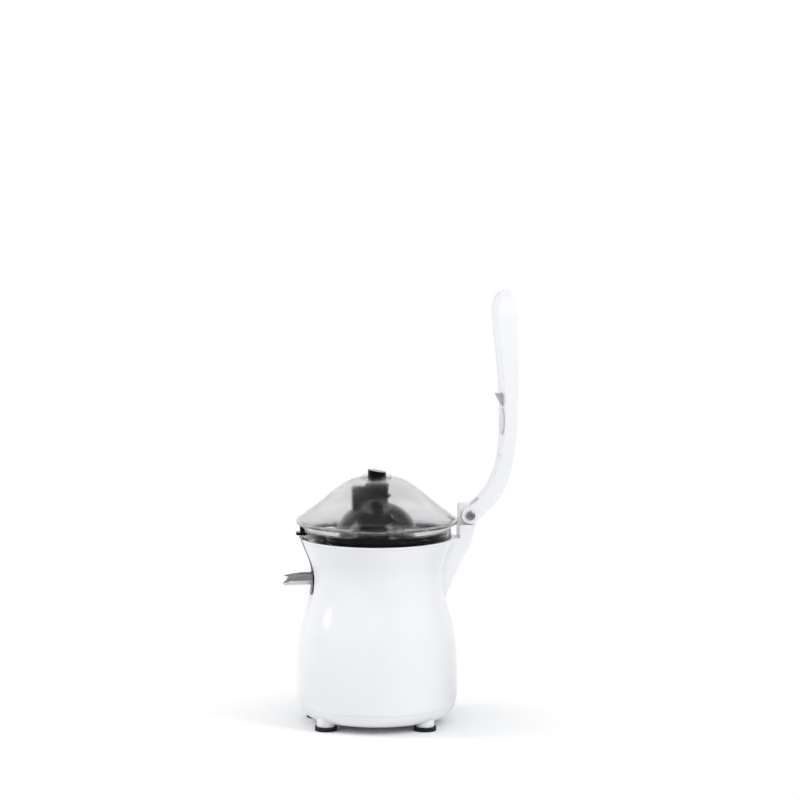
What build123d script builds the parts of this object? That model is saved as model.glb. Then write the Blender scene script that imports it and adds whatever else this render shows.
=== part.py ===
from build123d import *
import math
import os

os.makedirs("parts", exist_ok=True)

# Lever citrus juice press.
# Millimetres. Z is up, the floor is Z = 0, and Z runs through the drive shaft.
# The spout points along -Y and the lever's hinge stands at +Y, with the lever open.

# ---- housing ----
foot_tuck = 18.0
foot_height = 7.5
belly_radius = 85.0
belly_height = 38.0
shoulder_tuck = 5.5
shoulder_drop = 92.0
waist_tuck = 11.5
waist_drop = 42.0
neck_tuck = 6.0
neck_drop = 18.0
rim_radius = 81.0
rim_height = 199.0
housing_wall = 2.4
lip_radius = 1.2
deck_drop = 28.0
deck_thickness = 3.0
deck_boss_radius = 24.0
deck_boss_height = 8.5
column_radius = 4.5
notch_floor_gap = 0.2
notch_start = 52.0
notch_side_gap = 1.6
notch_corner = 3.0

# ---- feet and base plate ----
front_foot = (36.5, -59.0)
rear_foot = (51.0, 44.0)
pad_radius = 11.6
pad_height = 4.5
stub_radius = 9.5
stub_taper = 1.5
stub_top = 14.0
pad_plug_radius = 4.0
pad_plug_length = 4.0
base_plate_thickness = 3.0
base_gap = 0.3
base_screw_x = 20.0
base_screw_y = 54.5
base_screw_radius = 1.75
base_screw_length = 12.0
screw_end_gap = 2.0
screw_head_radius = 3.3
screw_head_height = 2.2
screw_slot_width = 0.8
pad_chamfer = 0.6
gland_height = 24.0
gland_radius = 5.0
gland_length = 9.0
gland_root = 8.0
gland_bore = 3.2
vent_length = 34.0
vent_width = 3.0
vent_pitch = 8.0
vent_count = 5

# ---- hinge and lever ----
hinge_reach = 12.8
hinge_rise = 22.0
tongue_width = 12.0
fork_gap = 0.4
root_width = 24.0
post_gap = 1.3
post_round = 12.0
hub_radius = 9.0
fork_reach = 19.2
bolt_radius = 3.0
bolt_head_radius = 5.0
bolt_head_height = 2.6
bush_radius = 4.5
bush_gap = 0.03
lever_length = 237.0
lever_top_width = 46.0
lever_wall = 2.4
lever_cover_thickness = 2.2
lever_cover_gap = 0.2
hollow_start = 62.0
hollow_end_wall = 4.0
socket_height = 98.0
socket_radius = 14.5
socket_depth = 1.6
latch_spacing = 8.5
latch_width = 12.0
latch_depth = 13.0
latch_reach = 7.0
latch_edge = 1.5
latch_stem = 1.0
latch_place = 35.4
socket_place = 35.6
socket_backing = 1.5
bolt_socket = 2.4
latch_gap = 0.3
latch_travel = 3.0
# the arm's outline: distance behind the hinge, then height as a share of its length
lever_back_line = [
    (6.0, -0.028),
    (19.0, 0.022),
    (33.0, 0.09),
    (42.5, 0.2),
    (47.6, 0.36),
    (48.6, 0.56),
    (48.2, 0.78),
    (46.6, 0.91),
    (42.5, 1.0),
]
lever_face_line = [
    (36.0, 1.0),
    (32.2, 0.984),
    (29.2, 0.958),
    (28.0, 0.905),
    (31.2, 0.73),
    (34.6, 0.58),
    (35.6, 0.44),
    (33.8, 0.3),
    (24.6, 0.16),
    (13.0, 0.085),
    (-6.4, 0.027),
]

# ---- motor and gears ----
gear_module = 1.0
small_teeth = 14
large_teeth = 42
gear_backlash = 0.25
pressure_angle = math.radians(20)
gear_width = 10.0
gearbox_plate_thickness = 4.0
plate_margin = 2.0
plate_round = 6.0
axle_radius = 2.5
hub_step = 1.5
gearbox_wall = 2.0
gear_clearance = 2.0
stage_gap = 3.0
motor_column_place = 33.0
stator_radius = 36.0
motor_floor_gap = 8.5
rotor_radius = 16.0
air_gap = 0.8
rotor_shaft_radius = 3.0
winding_height = 9.0
winding_gap = 0.4
end_frame_thickness = 3.0
motor_bolt_circle = 32.0
motor_bolt_radius = 2.0
motor_bolt_head = 3.4
pillar_wall = 1.4
winding_round = 2.5
frame_gap = 2.0
frame_window = 8.0
frame_window_place = 20.0
fan_radius = 30.0
fan_height = 9.0
fan_disc = 1.5
fan_blades = 9
fan_hub_wall = 3.0
fan_blade_inset = 1.0
running_gap = 0.05
seat_gap = 0.3

# ---- start switch ----
switch_length = 20.0
switch_width = 6.4
switch_height = 9.0
switch_place = -18.0
terminal_length = 8.0
terminal_thickness = 0.8
terminal_reach = 1.0
button_place = -14.0
button_length = 4.0
button_width = 3.0
button_rise = 1.6
button_travel = 1.2
pocket_gap = 0.2
start_collar_radius = 18.0
start_collar_thickness = 2.0
collar_room = 4.1

# ---- drive ----
shaft_radius = 7.9
shaft_rise = 12.9
journal_radius = 6.0
bush_wall = 3.0
sleeve_radius = 10.0
sleeve_low_radius = 11.0
sleeve_cap = 1.6
sleeve_foot_radius = 19.0
sleeve_foot_height = 18.0
sleeve_foot_edge = 1.5
sleeve_chamfer = 1.0
shaft_chamfer = 1.2
sleeve_gap = 0.15

# ---- bowl ----
bowl_rise = 17.0
bowl_flare = 2.5
bowl_wall = 2.2
bowl_collar_gap = 0.4
bowl_rim_band = 7.0
bowl_ledge = 4.2
bowl_throat = 13.5
bowl_bottom_gap = 1.1
sump_depth = 5.0
bowl_floor_slope = 4.0
tube_radius = 14.5
tube_rise = 0.5
tube_foot_radius = 21.5
tube_foot_height = 17.0
tube_swell = 1.3
tube_swell_height = 6.0
tube_skirt = 3.0
outlet_radius = 6.0
outlet_place = 57.0
outlet_wall = 1.8
outlet_depth = 5.0
seat_rib_place = 58.5
seat_rib_length = 9.0
seat_rib_width = 5.0

# ---- spout ----
spout_pivot_place = 35.7
spout_pivot_drop = 16.0
spout_tip = 99.5
spout_depth = 13.7
spout_drop = 6.0
trough_width = 20.0
trough_wall = 1.0
trough_gap = 0.15
holder_wall = 1.8
holder_front = 69.3
holder_back = 41.3
holder_eye_radius = 3.6
spout_pin_radius = 1.5
ear_thickness = 3.0
ear_gap = 0.4
ear_half = 3.3
pin_head_radius = 3.2
pin_head_thickness = 1.2

# ---- strainer ----
strainer_gap = 2.5
strainer_band = 4.2
strainer_wall = 1.8
strainer_depth = 32.5
strainer_hub_radius = 18.3
strainer_hub_gap = 1.8
strainer_slots = 36
strainer_slot_width = 1.6
slot_inset = 4.0
strainer_rise = 4.0
strainer_shoulder = 2.0
tab_radius = 7.0
tab_reach = 5.5
tab_thickness = 3.0
peg_radius = 2.8
peg_top_gap = 0.8
tab_gap = 0.8

# ---- reamer, cap and lid ----
ring_thickness = 3.0
ring_radius = 18.0
ring_bore = 12.0
brim_clear = 8.0
brim_gap = 18.1
brim_drop = 4.7
brim_dish = 4.0
brim_edge = 0.6
crown_dip = 1.5
hub_running_gap = 1.2
spike_radius = 2.3
spike_room = 1.5
stem_bore = 5.0
flange_thickness = 2.2
face_fall = 1.6
dome_radius = 39.0
dome_height = 49.0
dome_top_radius = 12.0
reamer_wall = 2.6
spike_height = 10.0
rib_count = 8
rib_turn = math.radians(-8)
rib_thickness = 2.4
rib_height = 2.6
cap_room = 12.6
cap_cover = 4.0
cap_wall = 2.0
cap_bead = 2.5
cap_bead_edge = 0.5
cap_crown_drop = 0.6
catch_drop = 3.5
catch_corner = 3.0
stem_chamfer = 1.0
stem_taper = 0.3
cap_gap = 1.8
neck_outer = 12.0
stem_show = 6.8
stem_flange_radius = 14.6
stem_collar_radius = 12.5
stem_radius = 9.9
stem_step = 14.0
stem_collar_height = 13.0
catch_reach = 26.5
catch_width = 12.0
lid_overhang = 1.7
lid_over = 28.7
lid_wall = 2.0
lid_lip_depth = 2.0
lid_flange = 3.7
lid_edge = 1.3
lid_collar_rise = 1.8
lid_collar_radius = 16.1
lid_hole_radius = 13.6
lid_gap = 0.3
rim_lap_gap = 0.4

# ---- places worked out from the sizes above ----
base_radius = belly_radius - foot_tuck
shoulder_radius = belly_radius - shoulder_tuck
waist_radius = rim_radius - waist_tuck
neck_radius = rim_radius - neck_tuck
bowl_rim_radius = rim_radius + bowl_flare
bowl_collar_radius = rim_radius - housing_wall - bowl_collar_gap
bowl_step_radius = bowl_collar_radius - bowl_ledge
bowl_bottom_radius = waist_radius - housing_wall - bowl_bottom_gap
strainer_radius = bowl_collar_radius - bowl_wall - strainer_gap
tab_place = strainer_radius + tab_reach
brim_radius = strainer_radius - brim_gap
cap_radius = dome_radius + cap_room
cap_height = dome_height - cap_cover
lid_radius = bowl_rim_radius + lid_overhang
hinge_offset = lid_radius + hinge_reach
post_face = lid_radius + post_gap
shoulder_height = rim_height - shoulder_drop
waist_height = rim_height - waist_drop
neck_height = rim_height - neck_drop
hinge_height = rim_height + hinge_rise
bowl_rim_height = rim_height + bowl_rise
bowl_step_height = bowl_rim_height - bowl_throat
strainer_rim = bowl_step_height + strainer_band
strainer_floor = strainer_rim - strainer_depth
bowl_floor_height = strainer_floor - sump_depth - bowl_wall
tube_top = bowl_step_height + tube_rise
deck_height = bowl_floor_height - deck_drop
deck_underside = deck_height - deck_thickness
spout_pivot_height = bowl_floor_height - spout_pivot_drop
spout_top = bowl_floor_height - spout_drop
spout_bottom = spout_top - spout_depth
shaft_top = strainer_rim + shaft_rise
latch_height = socket_height + socket_radius + latch_spacing
boss_top = deck_height + deck_boss_height
stub_bottom = pad_height
plate_top = foot_height + base_plate_thickness
feet = [
    (front_foot[0], front_foot[1]),
    (-front_foot[0], front_foot[1]),
    (rear_foot[0], rear_foot[1]),
    (-rear_foot[0], rear_foot[1]),
]
tongue_half = tongue_width / 2
slot_half = tongue_half + fork_gap
holder_half = trough_width / 2 + trough_gap + holder_wall
notch_half = holder_half + notch_side_gap
notch_floor = deck_height + notch_floor_gap
centre_distance = gear_module * (small_teeth + large_teeth) / 2
half_small_pitch = math.pi / small_teeth
half_large_pitch = math.pi / large_teeth
collar_base = deck_underside - collar_room - start_collar_thickness
switch_top = collar_base - button_rise - seat_gap
cover_top = switch_top - switch_height
second_stage = cover_top - gearbox_wall - stage_gap - gear_width
first_stage = second_stage - stage_gap - gear_width
gearbox_floor = first_stage - stage_gap - gearbox_plate_thickness
sleeve_top = shaft_top + seat_gap + sleeve_cap
sleeve_bottom = boss_top + seat_gap
ring_bottom = strainer_rim
reamer_seat = ring_bottom + ring_thickness
brim_height = strainer_floor + brim_clear
dome_top = brim_height + dome_height
cap_bottom = dome_top + cap_gap - cap_height + cap_wall
cap_top = cap_bottom + cap_height
lid_bottom = bowl_rim_height + lid_gap
lid_top = cap_top + lid_over
lid_height = lid_top - lid_bottom
stem_top = lid_top + stem_show
collar_top = stem_top - stem_step
collar_bottom = collar_top - stem_collar_height

slope = math.radians(bowl_floor_slope)
floor_under = Plane(
    origin=(0, 0, bowl_floor_height),
    x_dir=(1, 0, 0),
    z_dir=(0, -math.sin(slope), math.cos(slope)),
)
floor_over = floor_under.offset(bowl_wall)


def housing_side(inset):
    # the housing's side from its foot to the bead under its rim, moved in by a wall
    Spline(
        (base_radius - inset, foot_height),
        (belly_radius - inset, belly_height),
        tangents=[(1, 0.2), (0, 1)],
    )
    Spline(
        (belly_radius - inset, belly_height),
        (shoulder_radius - inset, shoulder_height),
        (waist_radius - inset, waist_height),
        tangents=[(0, 1), (0, 1)],
    )
    Spline(
        (waist_radius - inset, waist_height),
        (neck_radius - inset, neck_height),
        (rim_radius - inset, rim_height - 2 * lip_radius),
        tangents=[(0, 1), (0.3, 1)],
    )


def gear_outline(teeth, turn):
    # involute teeth: half of a tooth's angle shrinks as the flank rolls off its base circle
    pitch = gear_module * teeth / 2
    base = pitch * math.cos(pressure_angle)
    root = pitch - 1.25 * gear_module
    tip = pitch + 0.95 * gear_module
    half_tooth = math.pi / (2 * teeth) - gear_backlash / (2 * pitch)
    rolled = math.tan(pressure_angle) - pressure_angle
    start = max(base, root)
    flank = [root] + [start + (tip - start) * step / 4 for step in range(5)]
    if base < root:
        flank = flank[1:]
    points = []
    for tooth in range(teeth):
        middle = turn + 2 * math.pi * tooth / teeth
        left = []
        for radius in flank:
            slope = math.acos(min(1.0, base / radius))
            half = half_tooth + rolled - (math.tan(slope) - slope)
            points.append((radius * math.cos(middle - half), radius * math.sin(middle - half)))
            left.append((radius * math.cos(middle + half), radius * math.sin(middle + half)))
        points += left[::-1]
    return points


# ---- housing: an open shell with its foot stubs, spine and hinge tongue ----
with BuildPart() as inside:
    # the shell's whole hollow, open at the rim and at the foot
    with BuildSketch(Plane.XZ):
        with BuildLine():
            housing_side(housing_wall)
            Polyline(
                (rim_radius - housing_wall, rim_height - 2 * lip_radius),
                (rim_radius - housing_wall, rim_height + post_round),
                (0, rim_height + post_round),
                (0, foot_height),
                (base_radius - housing_wall, foot_height),
            )
        make_face()
    revolve(axis=Axis.Z)

spine_foot = (base_radius, waist_height - 40)
spine_low = (neck_radius + 5.5, waist_height)
spine_mid = (hinge_offset - 5.5, neck_height)
spine_high = (hinge_offset + 2.8, rim_height + 3)

with BuildPart() as housing:
    with BuildSketch(Plane.XZ):
        with BuildLine():
            housing_side(0)
            ThreePointArc(
                (rim_radius, rim_height - 2 * lip_radius),
                (rim_radius + lip_radius, rim_height - lip_radius),
                (rim_radius, rim_height),
            )
            Polyline(
                (rim_radius, rim_height),
                (0, rim_height),
                (0, foot_height),
                (base_radius, foot_height),
            )
        make_face()
    revolve(axis=Axis.Z)
    # spine that carries the hinge, swelling out of the back of the waist
    with BuildSketch(Plane.YZ):
        with BuildLine():
            Spline(
                spine_foot, spine_low, spine_mid, spine_high,
                tangents=[(0.15, 1), (0.15, 1)],
            )
            Polyline(
                spine_high,
                (hinge_offset + 2.8, hinge_height - hub_radius - 1.2),
                (post_face, hinge_height - hub_radius - 1.2),
                (post_face, rim_height - 2),
                (base_radius - 10, rim_height - 2),
                (base_radius - 10, waist_height - 40),
                spine_foot,
            )
        make_face()
    extrude(amount=root_width / 2, both=True)
    # tongue between the lever's cheeks
    with BuildSketch(Plane.YZ):
        with BuildLine():
            Polyline(
                (post_face, rim_height),
                (hinge_offset + 2.8, rim_height),
                (hinge_offset + hub_radius, hinge_height),
                (hinge_offset, hinge_height + post_round),
                (post_face + 2, hinge_height + post_round),
                (post_face, hinge_height + post_round - 2),
                close=True,
            )
        make_face()
    extrude(amount=tongue_half, both=True)
    # foot stubs
    with BuildSketch(Plane.XY.offset(stub_bottom)):
        with Locations(*feet):
            Circle(stub_radius)
    extrude(amount=stub_top - stub_bottom, taper=-stub_taper)
    add(inside.part, mode=Mode.SUBTRACT)
    with BuildSketch(Plane.XY.offset(stub_bottom)):
        with Locations(*feet):
            Circle(pad_plug_radius)
    extrude(amount=pad_plug_length, mode=Mode.SUBTRACT)
    # hole of the lead's strain relief
    with BuildSketch(Plane.YZ.offset(-belly_radius - gland_length)):
        with Locations((0, gland_height)):
            Circle(gland_radius)
    extrude(amount=gland_length + 2 * gland_root, mode=Mode.SUBTRACT)
    # open notch that the spout drops into
    with BuildSketch(Plane.XZ.offset(notch_start)):
        with BuildLine():
            Polyline(
                (-notch_half, rim_height + lip_radius),
                (-notch_half, notch_floor + notch_corner),
                (-notch_half + notch_corner, notch_floor),
                (notch_half - notch_corner, notch_floor),
                (notch_half, notch_floor + notch_corner),
                (notch_half, rim_height + lip_radius),
                close=True,
            )
        make_face()
    extrude(amount=rim_radius, mode=Mode.SUBTRACT)
    # hinge bore through the tongue
    with BuildSketch(Plane.YZ):
        with Locations((hinge_offset, hinge_height)):
            Circle(bolt_radius + bush_gap)
    extrude(amount=root_width, both=True, mode=Mode.SUBTRACT)
housing.part.label = "housing"
export_step(housing.part, "parts/housing.step")

# ---- deck, with the seats of the bowl and the columns for the screws ----
with BuildPart() as bowl_seats:
    # four ribs on the deck, cut to the slope of the bowl's floor
    with BuildSketch(Plane.XY.offset(deck_underside)):
        with PolarLocations(seat_rib_place, 4, start_angle=45):
            Rectangle(seat_rib_length, seat_rib_width)
    extrude(amount=bowl_floor_height)
    split(bisect_by=floor_under.offset(-seat_gap), keep=Keep.BOTTOM)

with BuildPart() as deck:
    # floor that fills the shell's waist and closes the motor off from the bowl
    with BuildSketch(Plane.XY.offset(deck_underside)):
        Circle(rim_radius)
    extrude(amount=deck_thickness)
    add(inside.part, mode=Mode.INTERSECT)
    # seat of the drive's bush and seal
    with BuildSketch(Plane.XY.offset(deck_underside)):
        Circle(deck_boss_radius)
    extrude(amount=boss_top - deck_underside)
    add(bowl_seats.part)
    # columns down to the gearbox plate and to the base plate
    with BuildSketch(Plane.XY.offset(gearbox_floor + gearbox_plate_thickness)):
        with GridLocations(2 * motor_column_place, 2 * motor_column_place, 2, 2):
            Circle(column_radius)
    extrude(amount=deck_underside - gearbox_floor - gearbox_plate_thickness)
    with BuildSketch(Plane.XY.offset(plate_top)):
        with GridLocations(2 * base_screw_x, 2 * base_screw_y, 2, 2):
            Circle(column_radius)
    extrude(amount=deck_underside - plate_top)
    # pilot holes for the screws
    with BuildSketch(Plane.XY.offset(gearbox_floor)):
        with GridLocations(2 * motor_column_place, 2 * motor_column_place, 2, 2):
            Circle(base_screw_radius)
    extrude(amount=gearbox_plate_thickness + base_screw_length, mode=Mode.SUBTRACT)
    with BuildSketch(Plane.XY.offset(foot_height)):
        with GridLocations(2 * base_screw_x, 2 * base_screw_y, 2, 2):
            Circle(base_screw_radius)
    extrude(amount=base_plate_thickness + base_screw_length, mode=Mode.SUBTRACT)
    # bores for the bush and the seal
    with BuildSketch(Plane.XY.offset(deck_underside)):
        Circle(journal_radius + bush_wall)
    extrude(amount=boss_top - deck_underside, mode=Mode.SUBTRACT)
    with BuildSketch(Plane.XY.offset(deck_height)):
        Circle(shaft_radius + bush_wall)
    extrude(amount=deck_boss_height, mode=Mode.SUBTRACT)
deck.part.label = "deck"
export_step(deck.part, "parts/deck.step")

# ---- base plate, pads and their screws ----
with BuildPart() as base_plate:
    with BuildSketch(Plane.XY.offset(foot_height)):
        Circle(base_radius - housing_wall - base_gap)
        with Locations(*feet):
            Circle(stub_radius + stub_taper, mode=Mode.SUBTRACT)
        with GridLocations(2 * base_screw_x, 2 * base_screw_y, 2, 2):
            Circle(base_screw_radius, mode=Mode.SUBTRACT)
        with GridLocations(0, vent_pitch, 1, vent_count):
            SlotOverall(vent_length, vent_width, mode=Mode.SUBTRACT)
    extrude(amount=base_plate_thickness)
base_plate.part.label = "base_plate"
export_step(base_plate.part, "parts/base_plate.step")

with BuildPart() as foot_pads:
    with BuildSketch():
        with Locations(*feet):
            Circle(pad_radius)
    extrude(amount=pad_height)
    chamfer(foot_pads.edges().group_by(Axis.Z)[0], length=pad_chamfer)
    with BuildSketch(Plane.XY.offset(pad_height)):
        with Locations(*feet):
            Circle(pad_plug_radius)
    extrude(amount=pad_plug_length - seat_gap)
foot_pads.part.label = "foot_pads"
export_step(foot_pads.part, "parts/foot_pads.step")


def screws(length, head_radius, head_height):
    # a pan-head screw that points up, with its head's upper face at the origin
    with BuildPart() as screw:
        with BuildSketch(Plane.XY.offset(-head_height)):
            Circle(head_radius)
        extrude(amount=head_height)
        fillet(screw.edges().group_by(Axis.Z)[0], radius=head_height * 0.4)
        with BuildSketch():
            Circle(base_screw_radius)
        extrude(amount=length)
        with BuildSketch(Plane.XY.offset(-head_height)):
            Rectangle(head_radius, screw_slot_width)
            Rectangle(screw_slot_width, head_radius)
        extrude(amount=head_height * 0.5, mode=Mode.SUBTRACT)
    return screw.part


with BuildPart() as base_screws:
    with Locations(Plane.XY.offset(foot_height)):
        with GridLocations(2 * base_screw_x, 2 * base_screw_y, 2, 2):
            add(screws(base_plate_thickness + base_screw_length - screw_end_gap, screw_head_radius, screw_head_height))
base_screws.part.label = "base_screws"
export_step(base_screws.part, "parts/base_screws.step")

# ---- strain relief of the supply lead, on the far side of the foot ----
with BuildPart() as cord_gland:
    with BuildSketch(Plane.YZ.offset(-belly_radius - gland_length)):
        with Locations((0, gland_height)):
            Circle(gland_radius)
    extrude(amount=gland_length + gland_root)
    with BuildSketch(Plane.YZ.offset(-belly_radius - gland_length)):
        with Locations((0, gland_height)):
            Circle(gland_bore)
    extrude(amount=gland_length + gland_root, mode=Mode.SUBTRACT)
cord_gland.part.label = "cord_gland"
export_step(cord_gland.part, "parts/cord_gland.step")

# ---- drive bush and seal ----
with BuildPart() as shaft_bush:
    with BuildSketch(Plane.XY.offset(deck_underside)):
        Circle(journal_radius + bush_wall)
        Circle(journal_radius + running_gap, mode=Mode.SUBTRACT)
    extrude(amount=deck_thickness)
shaft_bush.part.label = "shaft_bush"
export_step(shaft_bush.part, "parts/shaft_bush.step")

with BuildPart() as shaft_seal:
    with BuildSketch(Plane.XY.offset(deck_height)):
        Circle(shaft_radius + bush_wall)
        Circle(shaft_radius + seat_gap, mode=Mode.SUBTRACT)
    extrude(amount=deck_boss_height - seat_gap)
shaft_seal.part.label = "shaft_seal"
export_step(shaft_seal.part, "parts/shaft_seal.step")

# ---- gearbox ----
idler_place = (centre_distance, 0)
large_tip = gear_module * large_teeth / 2 + gear_module
cover_reach = large_tip + gear_clearance
plate_half = motor_column_place + column_radius + plate_margin

with BuildPart() as gearbox_plate:
    with BuildSketch(Plane.XY.offset(gearbox_floor)):
        RectangleRounded(2 * plate_half, 2 * plate_half, plate_round)
        with Locations(idler_place):
            Circle(cover_reach + gearbox_wall)
        with GridLocations(2 * motor_column_place, 2 * motor_column_place, 2, 2):
            Circle(base_screw_radius, mode=Mode.SUBTRACT)
        with PolarLocations(motor_bolt_circle, 4, start_angle=45):
            Circle(motor_bolt_radius, mode=Mode.SUBTRACT)
        Circle(rotor_shaft_radius + running_gap, mode=Mode.SUBTRACT)
    extrude(amount=gearbox_plate_thickness)
gearbox_plate.part.label = "gearbox_plate"
export_step(gearbox_plate.part, "parts/gearbox_plate.step")

with BuildPart() as gearbox_cover:
    with BuildSketch(Plane.XY.offset(gearbox_floor + gearbox_plate_thickness)):
        Circle(cover_reach + gearbox_wall)
        with Locations(idler_place):
            Circle(cover_reach + gearbox_wall)
    extrude(amount=cover_top - gearbox_floor - gearbox_plate_thickness)
    with BuildSketch(Plane.XY.offset(gearbox_floor + gearbox_plate_thickness)):
        Circle(cover_reach)
        with Locations(idler_place):
            Circle(cover_reach)
    extrude(
        amount=cover_top - gearbox_wall - gearbox_floor - gearbox_plate_thickness,
        mode=Mode.SUBTRACT,
    )
    with BuildSketch(Plane.XY.offset(cover_top - gearbox_wall)):
        Circle(journal_radius + running_gap)
    extrude(amount=gearbox_wall, mode=Mode.SUBTRACT)
    with BuildSketch(Plane.XY.offset(gearbox_floor + gearbox_plate_thickness)):
        with GridLocations(2 * motor_column_place, 2 * motor_column_place, 2, 2):
            Circle(column_radius + seat_gap)
    extrude(amount=cover_top - gearbox_floor, mode=Mode.SUBTRACT)
gearbox_cover.part.label = "gearbox_cover"
export_step(gearbox_cover.part, "parts/gearbox_cover.step")

with BuildPart() as gearbox_screws:
    with Locations(Plane.XY.offset(gearbox_floor)):
        with GridLocations(2 * motor_column_place, 2 * motor_column_place, 2, 2):
            add(screws(gearbox_plate_thickness + base_screw_length - screw_end_gap, screw_head_radius, screw_head_height))
gearbox_screws.part.label = "gearbox_screws"
export_step(gearbox_screws.part, "parts/gearbox_screws.step")

with BuildPart() as idler_axle:
    with BuildSketch(Plane.XY.offset(gearbox_floor + gearbox_plate_thickness)):
        with Locations(idler_place):
            Circle(axle_radius)
    extrude(amount=cover_top - gearbox_wall - gearbox_floor - gearbox_plate_thickness)
idler_axle.part.label = "idler_axle"
export_step(idler_axle.part, "parts/idler_axle.step")


# two-step train: motor pinion, idler wheel and pinion, output wheel back on the drive's axis
with BuildPart() as idler_gear:
    with BuildSketch(Plane((centre_distance, 0, first_stage))):
        with BuildLine():
            Polyline(*gear_outline(large_teeth, half_large_pitch), close=True)
        make_face()
        Circle(axle_radius + running_gap, mode=Mode.SUBTRACT)
    extrude(amount=gear_width)
    with BuildSketch(Plane((centre_distance, 0, first_stage + gear_width))):
        Circle(gear_module * small_teeth / 2 - hub_step)
        Circle(axle_radius + running_gap, mode=Mode.SUBTRACT)
    extrude(amount=stage_gap)
    with BuildSketch(Plane((centre_distance, 0, second_stage))):
        with BuildLine():
            Polyline(*gear_outline(small_teeth, 0), close=True)
        make_face()
        Circle(axle_radius + running_gap, mode=Mode.SUBTRACT)
    extrude(amount=gear_width)
idler_gear.part.label = "idler_gear"
export_step(idler_gear.part, "parts/idler_gear.step")

with BuildPart() as output_gear:
    with BuildSketch(Plane.XY.offset(second_stage)):
        with BuildLine():
            Polyline(*gear_outline(large_teeth, half_large_pitch), close=True)
        make_face()
        Circle(journal_radius, mode=Mode.SUBTRACT)
    extrude(amount=gear_width)
output_gear.part.label = "output_gear"
export_step(output_gear.part, "parts/output_gear.step")

with BuildPart() as motor_pinion:
    with BuildSketch(Plane.XY.offset(first_stage)):
        with BuildLine():
            Polyline(*gear_outline(small_teeth, 0), close=True)
        make_face()
        Circle(rotor_shaft_radius, mode=Mode.SUBTRACT)
    extrude(amount=gear_width)
motor_pinion.part.label = "motor_pinion"
export_step(motor_pinion.part, "parts/motor_pinion.step")

# ---- motor, hung under the gearbox plate ----
stator_top = gearbox_floor - end_frame_thickness - frame_gap - winding_height
fan_top = plate_top + motor_floor_gap + fan_height
lower_frame_bottom = fan_top + frame_gap
stator_bottom = lower_frame_bottom + end_frame_thickness + frame_gap + winding_height
stator_height = stator_top - stator_bottom
upper_frame_bottom = gearbox_floor - end_frame_thickness
winding_inner = rotor_radius + 2 * air_gap
winding_outer = motor_bolt_circle - motor_bolt_radius - pillar_wall - seat_gap
fan_blade_start = rotor_shaft_radius + fan_hub_wall - fan_blade_inset

with BuildPart() as motor_stator:
    with BuildSketch(Plane.XY.offset(stator_bottom)):
        Circle(stator_radius)
        Circle(rotor_radius + air_gap, mode=Mode.SUBTRACT)
        with PolarLocations(motor_bolt_circle, 4, start_angle=45):
            Circle(motor_bolt_radius, mode=Mode.SUBTRACT)
    extrude(amount=stator_height)
motor_stator.part.label = "motor_stator"
export_step(motor_stator.part, "parts/motor_stator.step")

with BuildPart() as motor_windings:
    with BuildSketch(Plane.XY.offset(stator_top)):
        Circle(winding_outer)
        Circle(winding_inner, mode=Mode.SUBTRACT)
    extrude(amount=winding_height)
    fillet(motor_windings.edges().group_by(Axis.Z)[-1], radius=winding_round)
    mirror(about=Plane.XY.offset((stator_top + stator_bottom) / 2))
motor_windings.part.label = "motor_windings"
export_step(motor_windings.part, "parts/motor_windings.step")

with BuildPart() as motor_frames:
    for height in (lower_frame_bottom, upper_frame_bottom):
        with BuildSketch(Plane.XY.offset(height)):
            Circle(stator_radius)
            Circle(rotor_shaft_radius + running_gap, mode=Mode.SUBTRACT)
            with PolarLocations(motor_bolt_circle, 4, start_angle=45):
                Circle(motor_bolt_radius, mode=Mode.SUBTRACT)
            with PolarLocations(frame_window_place, 4):
                Circle(frame_window, mode=Mode.SUBTRACT)
        extrude(amount=end_frame_thickness)
    # four pillars that hold the lower frame and the stack at their distance
    with BuildSketch(Plane.XY.offset(lower_frame_bottom + end_frame_thickness)):
        with PolarLocations(motor_bolt_circle, 4, start_angle=45):
            Circle(motor_bolt_radius + pillar_wall)
            Circle(motor_bolt_radius, mode=Mode.SUBTRACT)
    extrude(amount=frame_gap + winding_height)
    with BuildSketch(Plane.XY.offset(stator_top)):
        with PolarLocations(motor_bolt_circle, 4, start_angle=45):
            Circle(motor_bolt_radius + pillar_wall)
            Circle(motor_bolt_radius, mode=Mode.SUBTRACT)
    extrude(amount=frame_gap + winding_height)
motor_frames.part.label = "motor_frames"
export_step(motor_frames.part, "parts/motor_frames.step")

with BuildPart() as motor_bolts:
    with BuildSketch(Plane.XY.offset(lower_frame_bottom)):
        with PolarLocations(motor_bolt_circle, 4, start_angle=45):
            Circle(motor_bolt_radius)
    extrude(amount=gearbox_floor + gearbox_plate_thickness - lower_frame_bottom)
    with BuildSketch(Plane.XY.offset(lower_frame_bottom)):
        with PolarLocations(motor_bolt_circle, 4, start_angle=45):
            RegularPolygon(motor_bolt_head, 6)
    extrude(amount=-frame_gap)
motor_bolts.part.label = "motor_bolts"
export_step(motor_bolts.part, "parts/motor_bolts.step")

with BuildPart() as rotor:
    with BuildSketch(Plane.XY.offset(fan_top - fan_height)):
        Circle(rotor_shaft_radius)
    extrude(amount=first_stage + gear_width - fan_top + fan_height)
    with BuildSketch(Plane.XY.offset(stator_bottom)):
        Circle(rotor_radius)
    extrude(amount=stator_height)
rotor.part.label = "rotor"
export_step(rotor.part, "parts/rotor.step")

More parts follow.
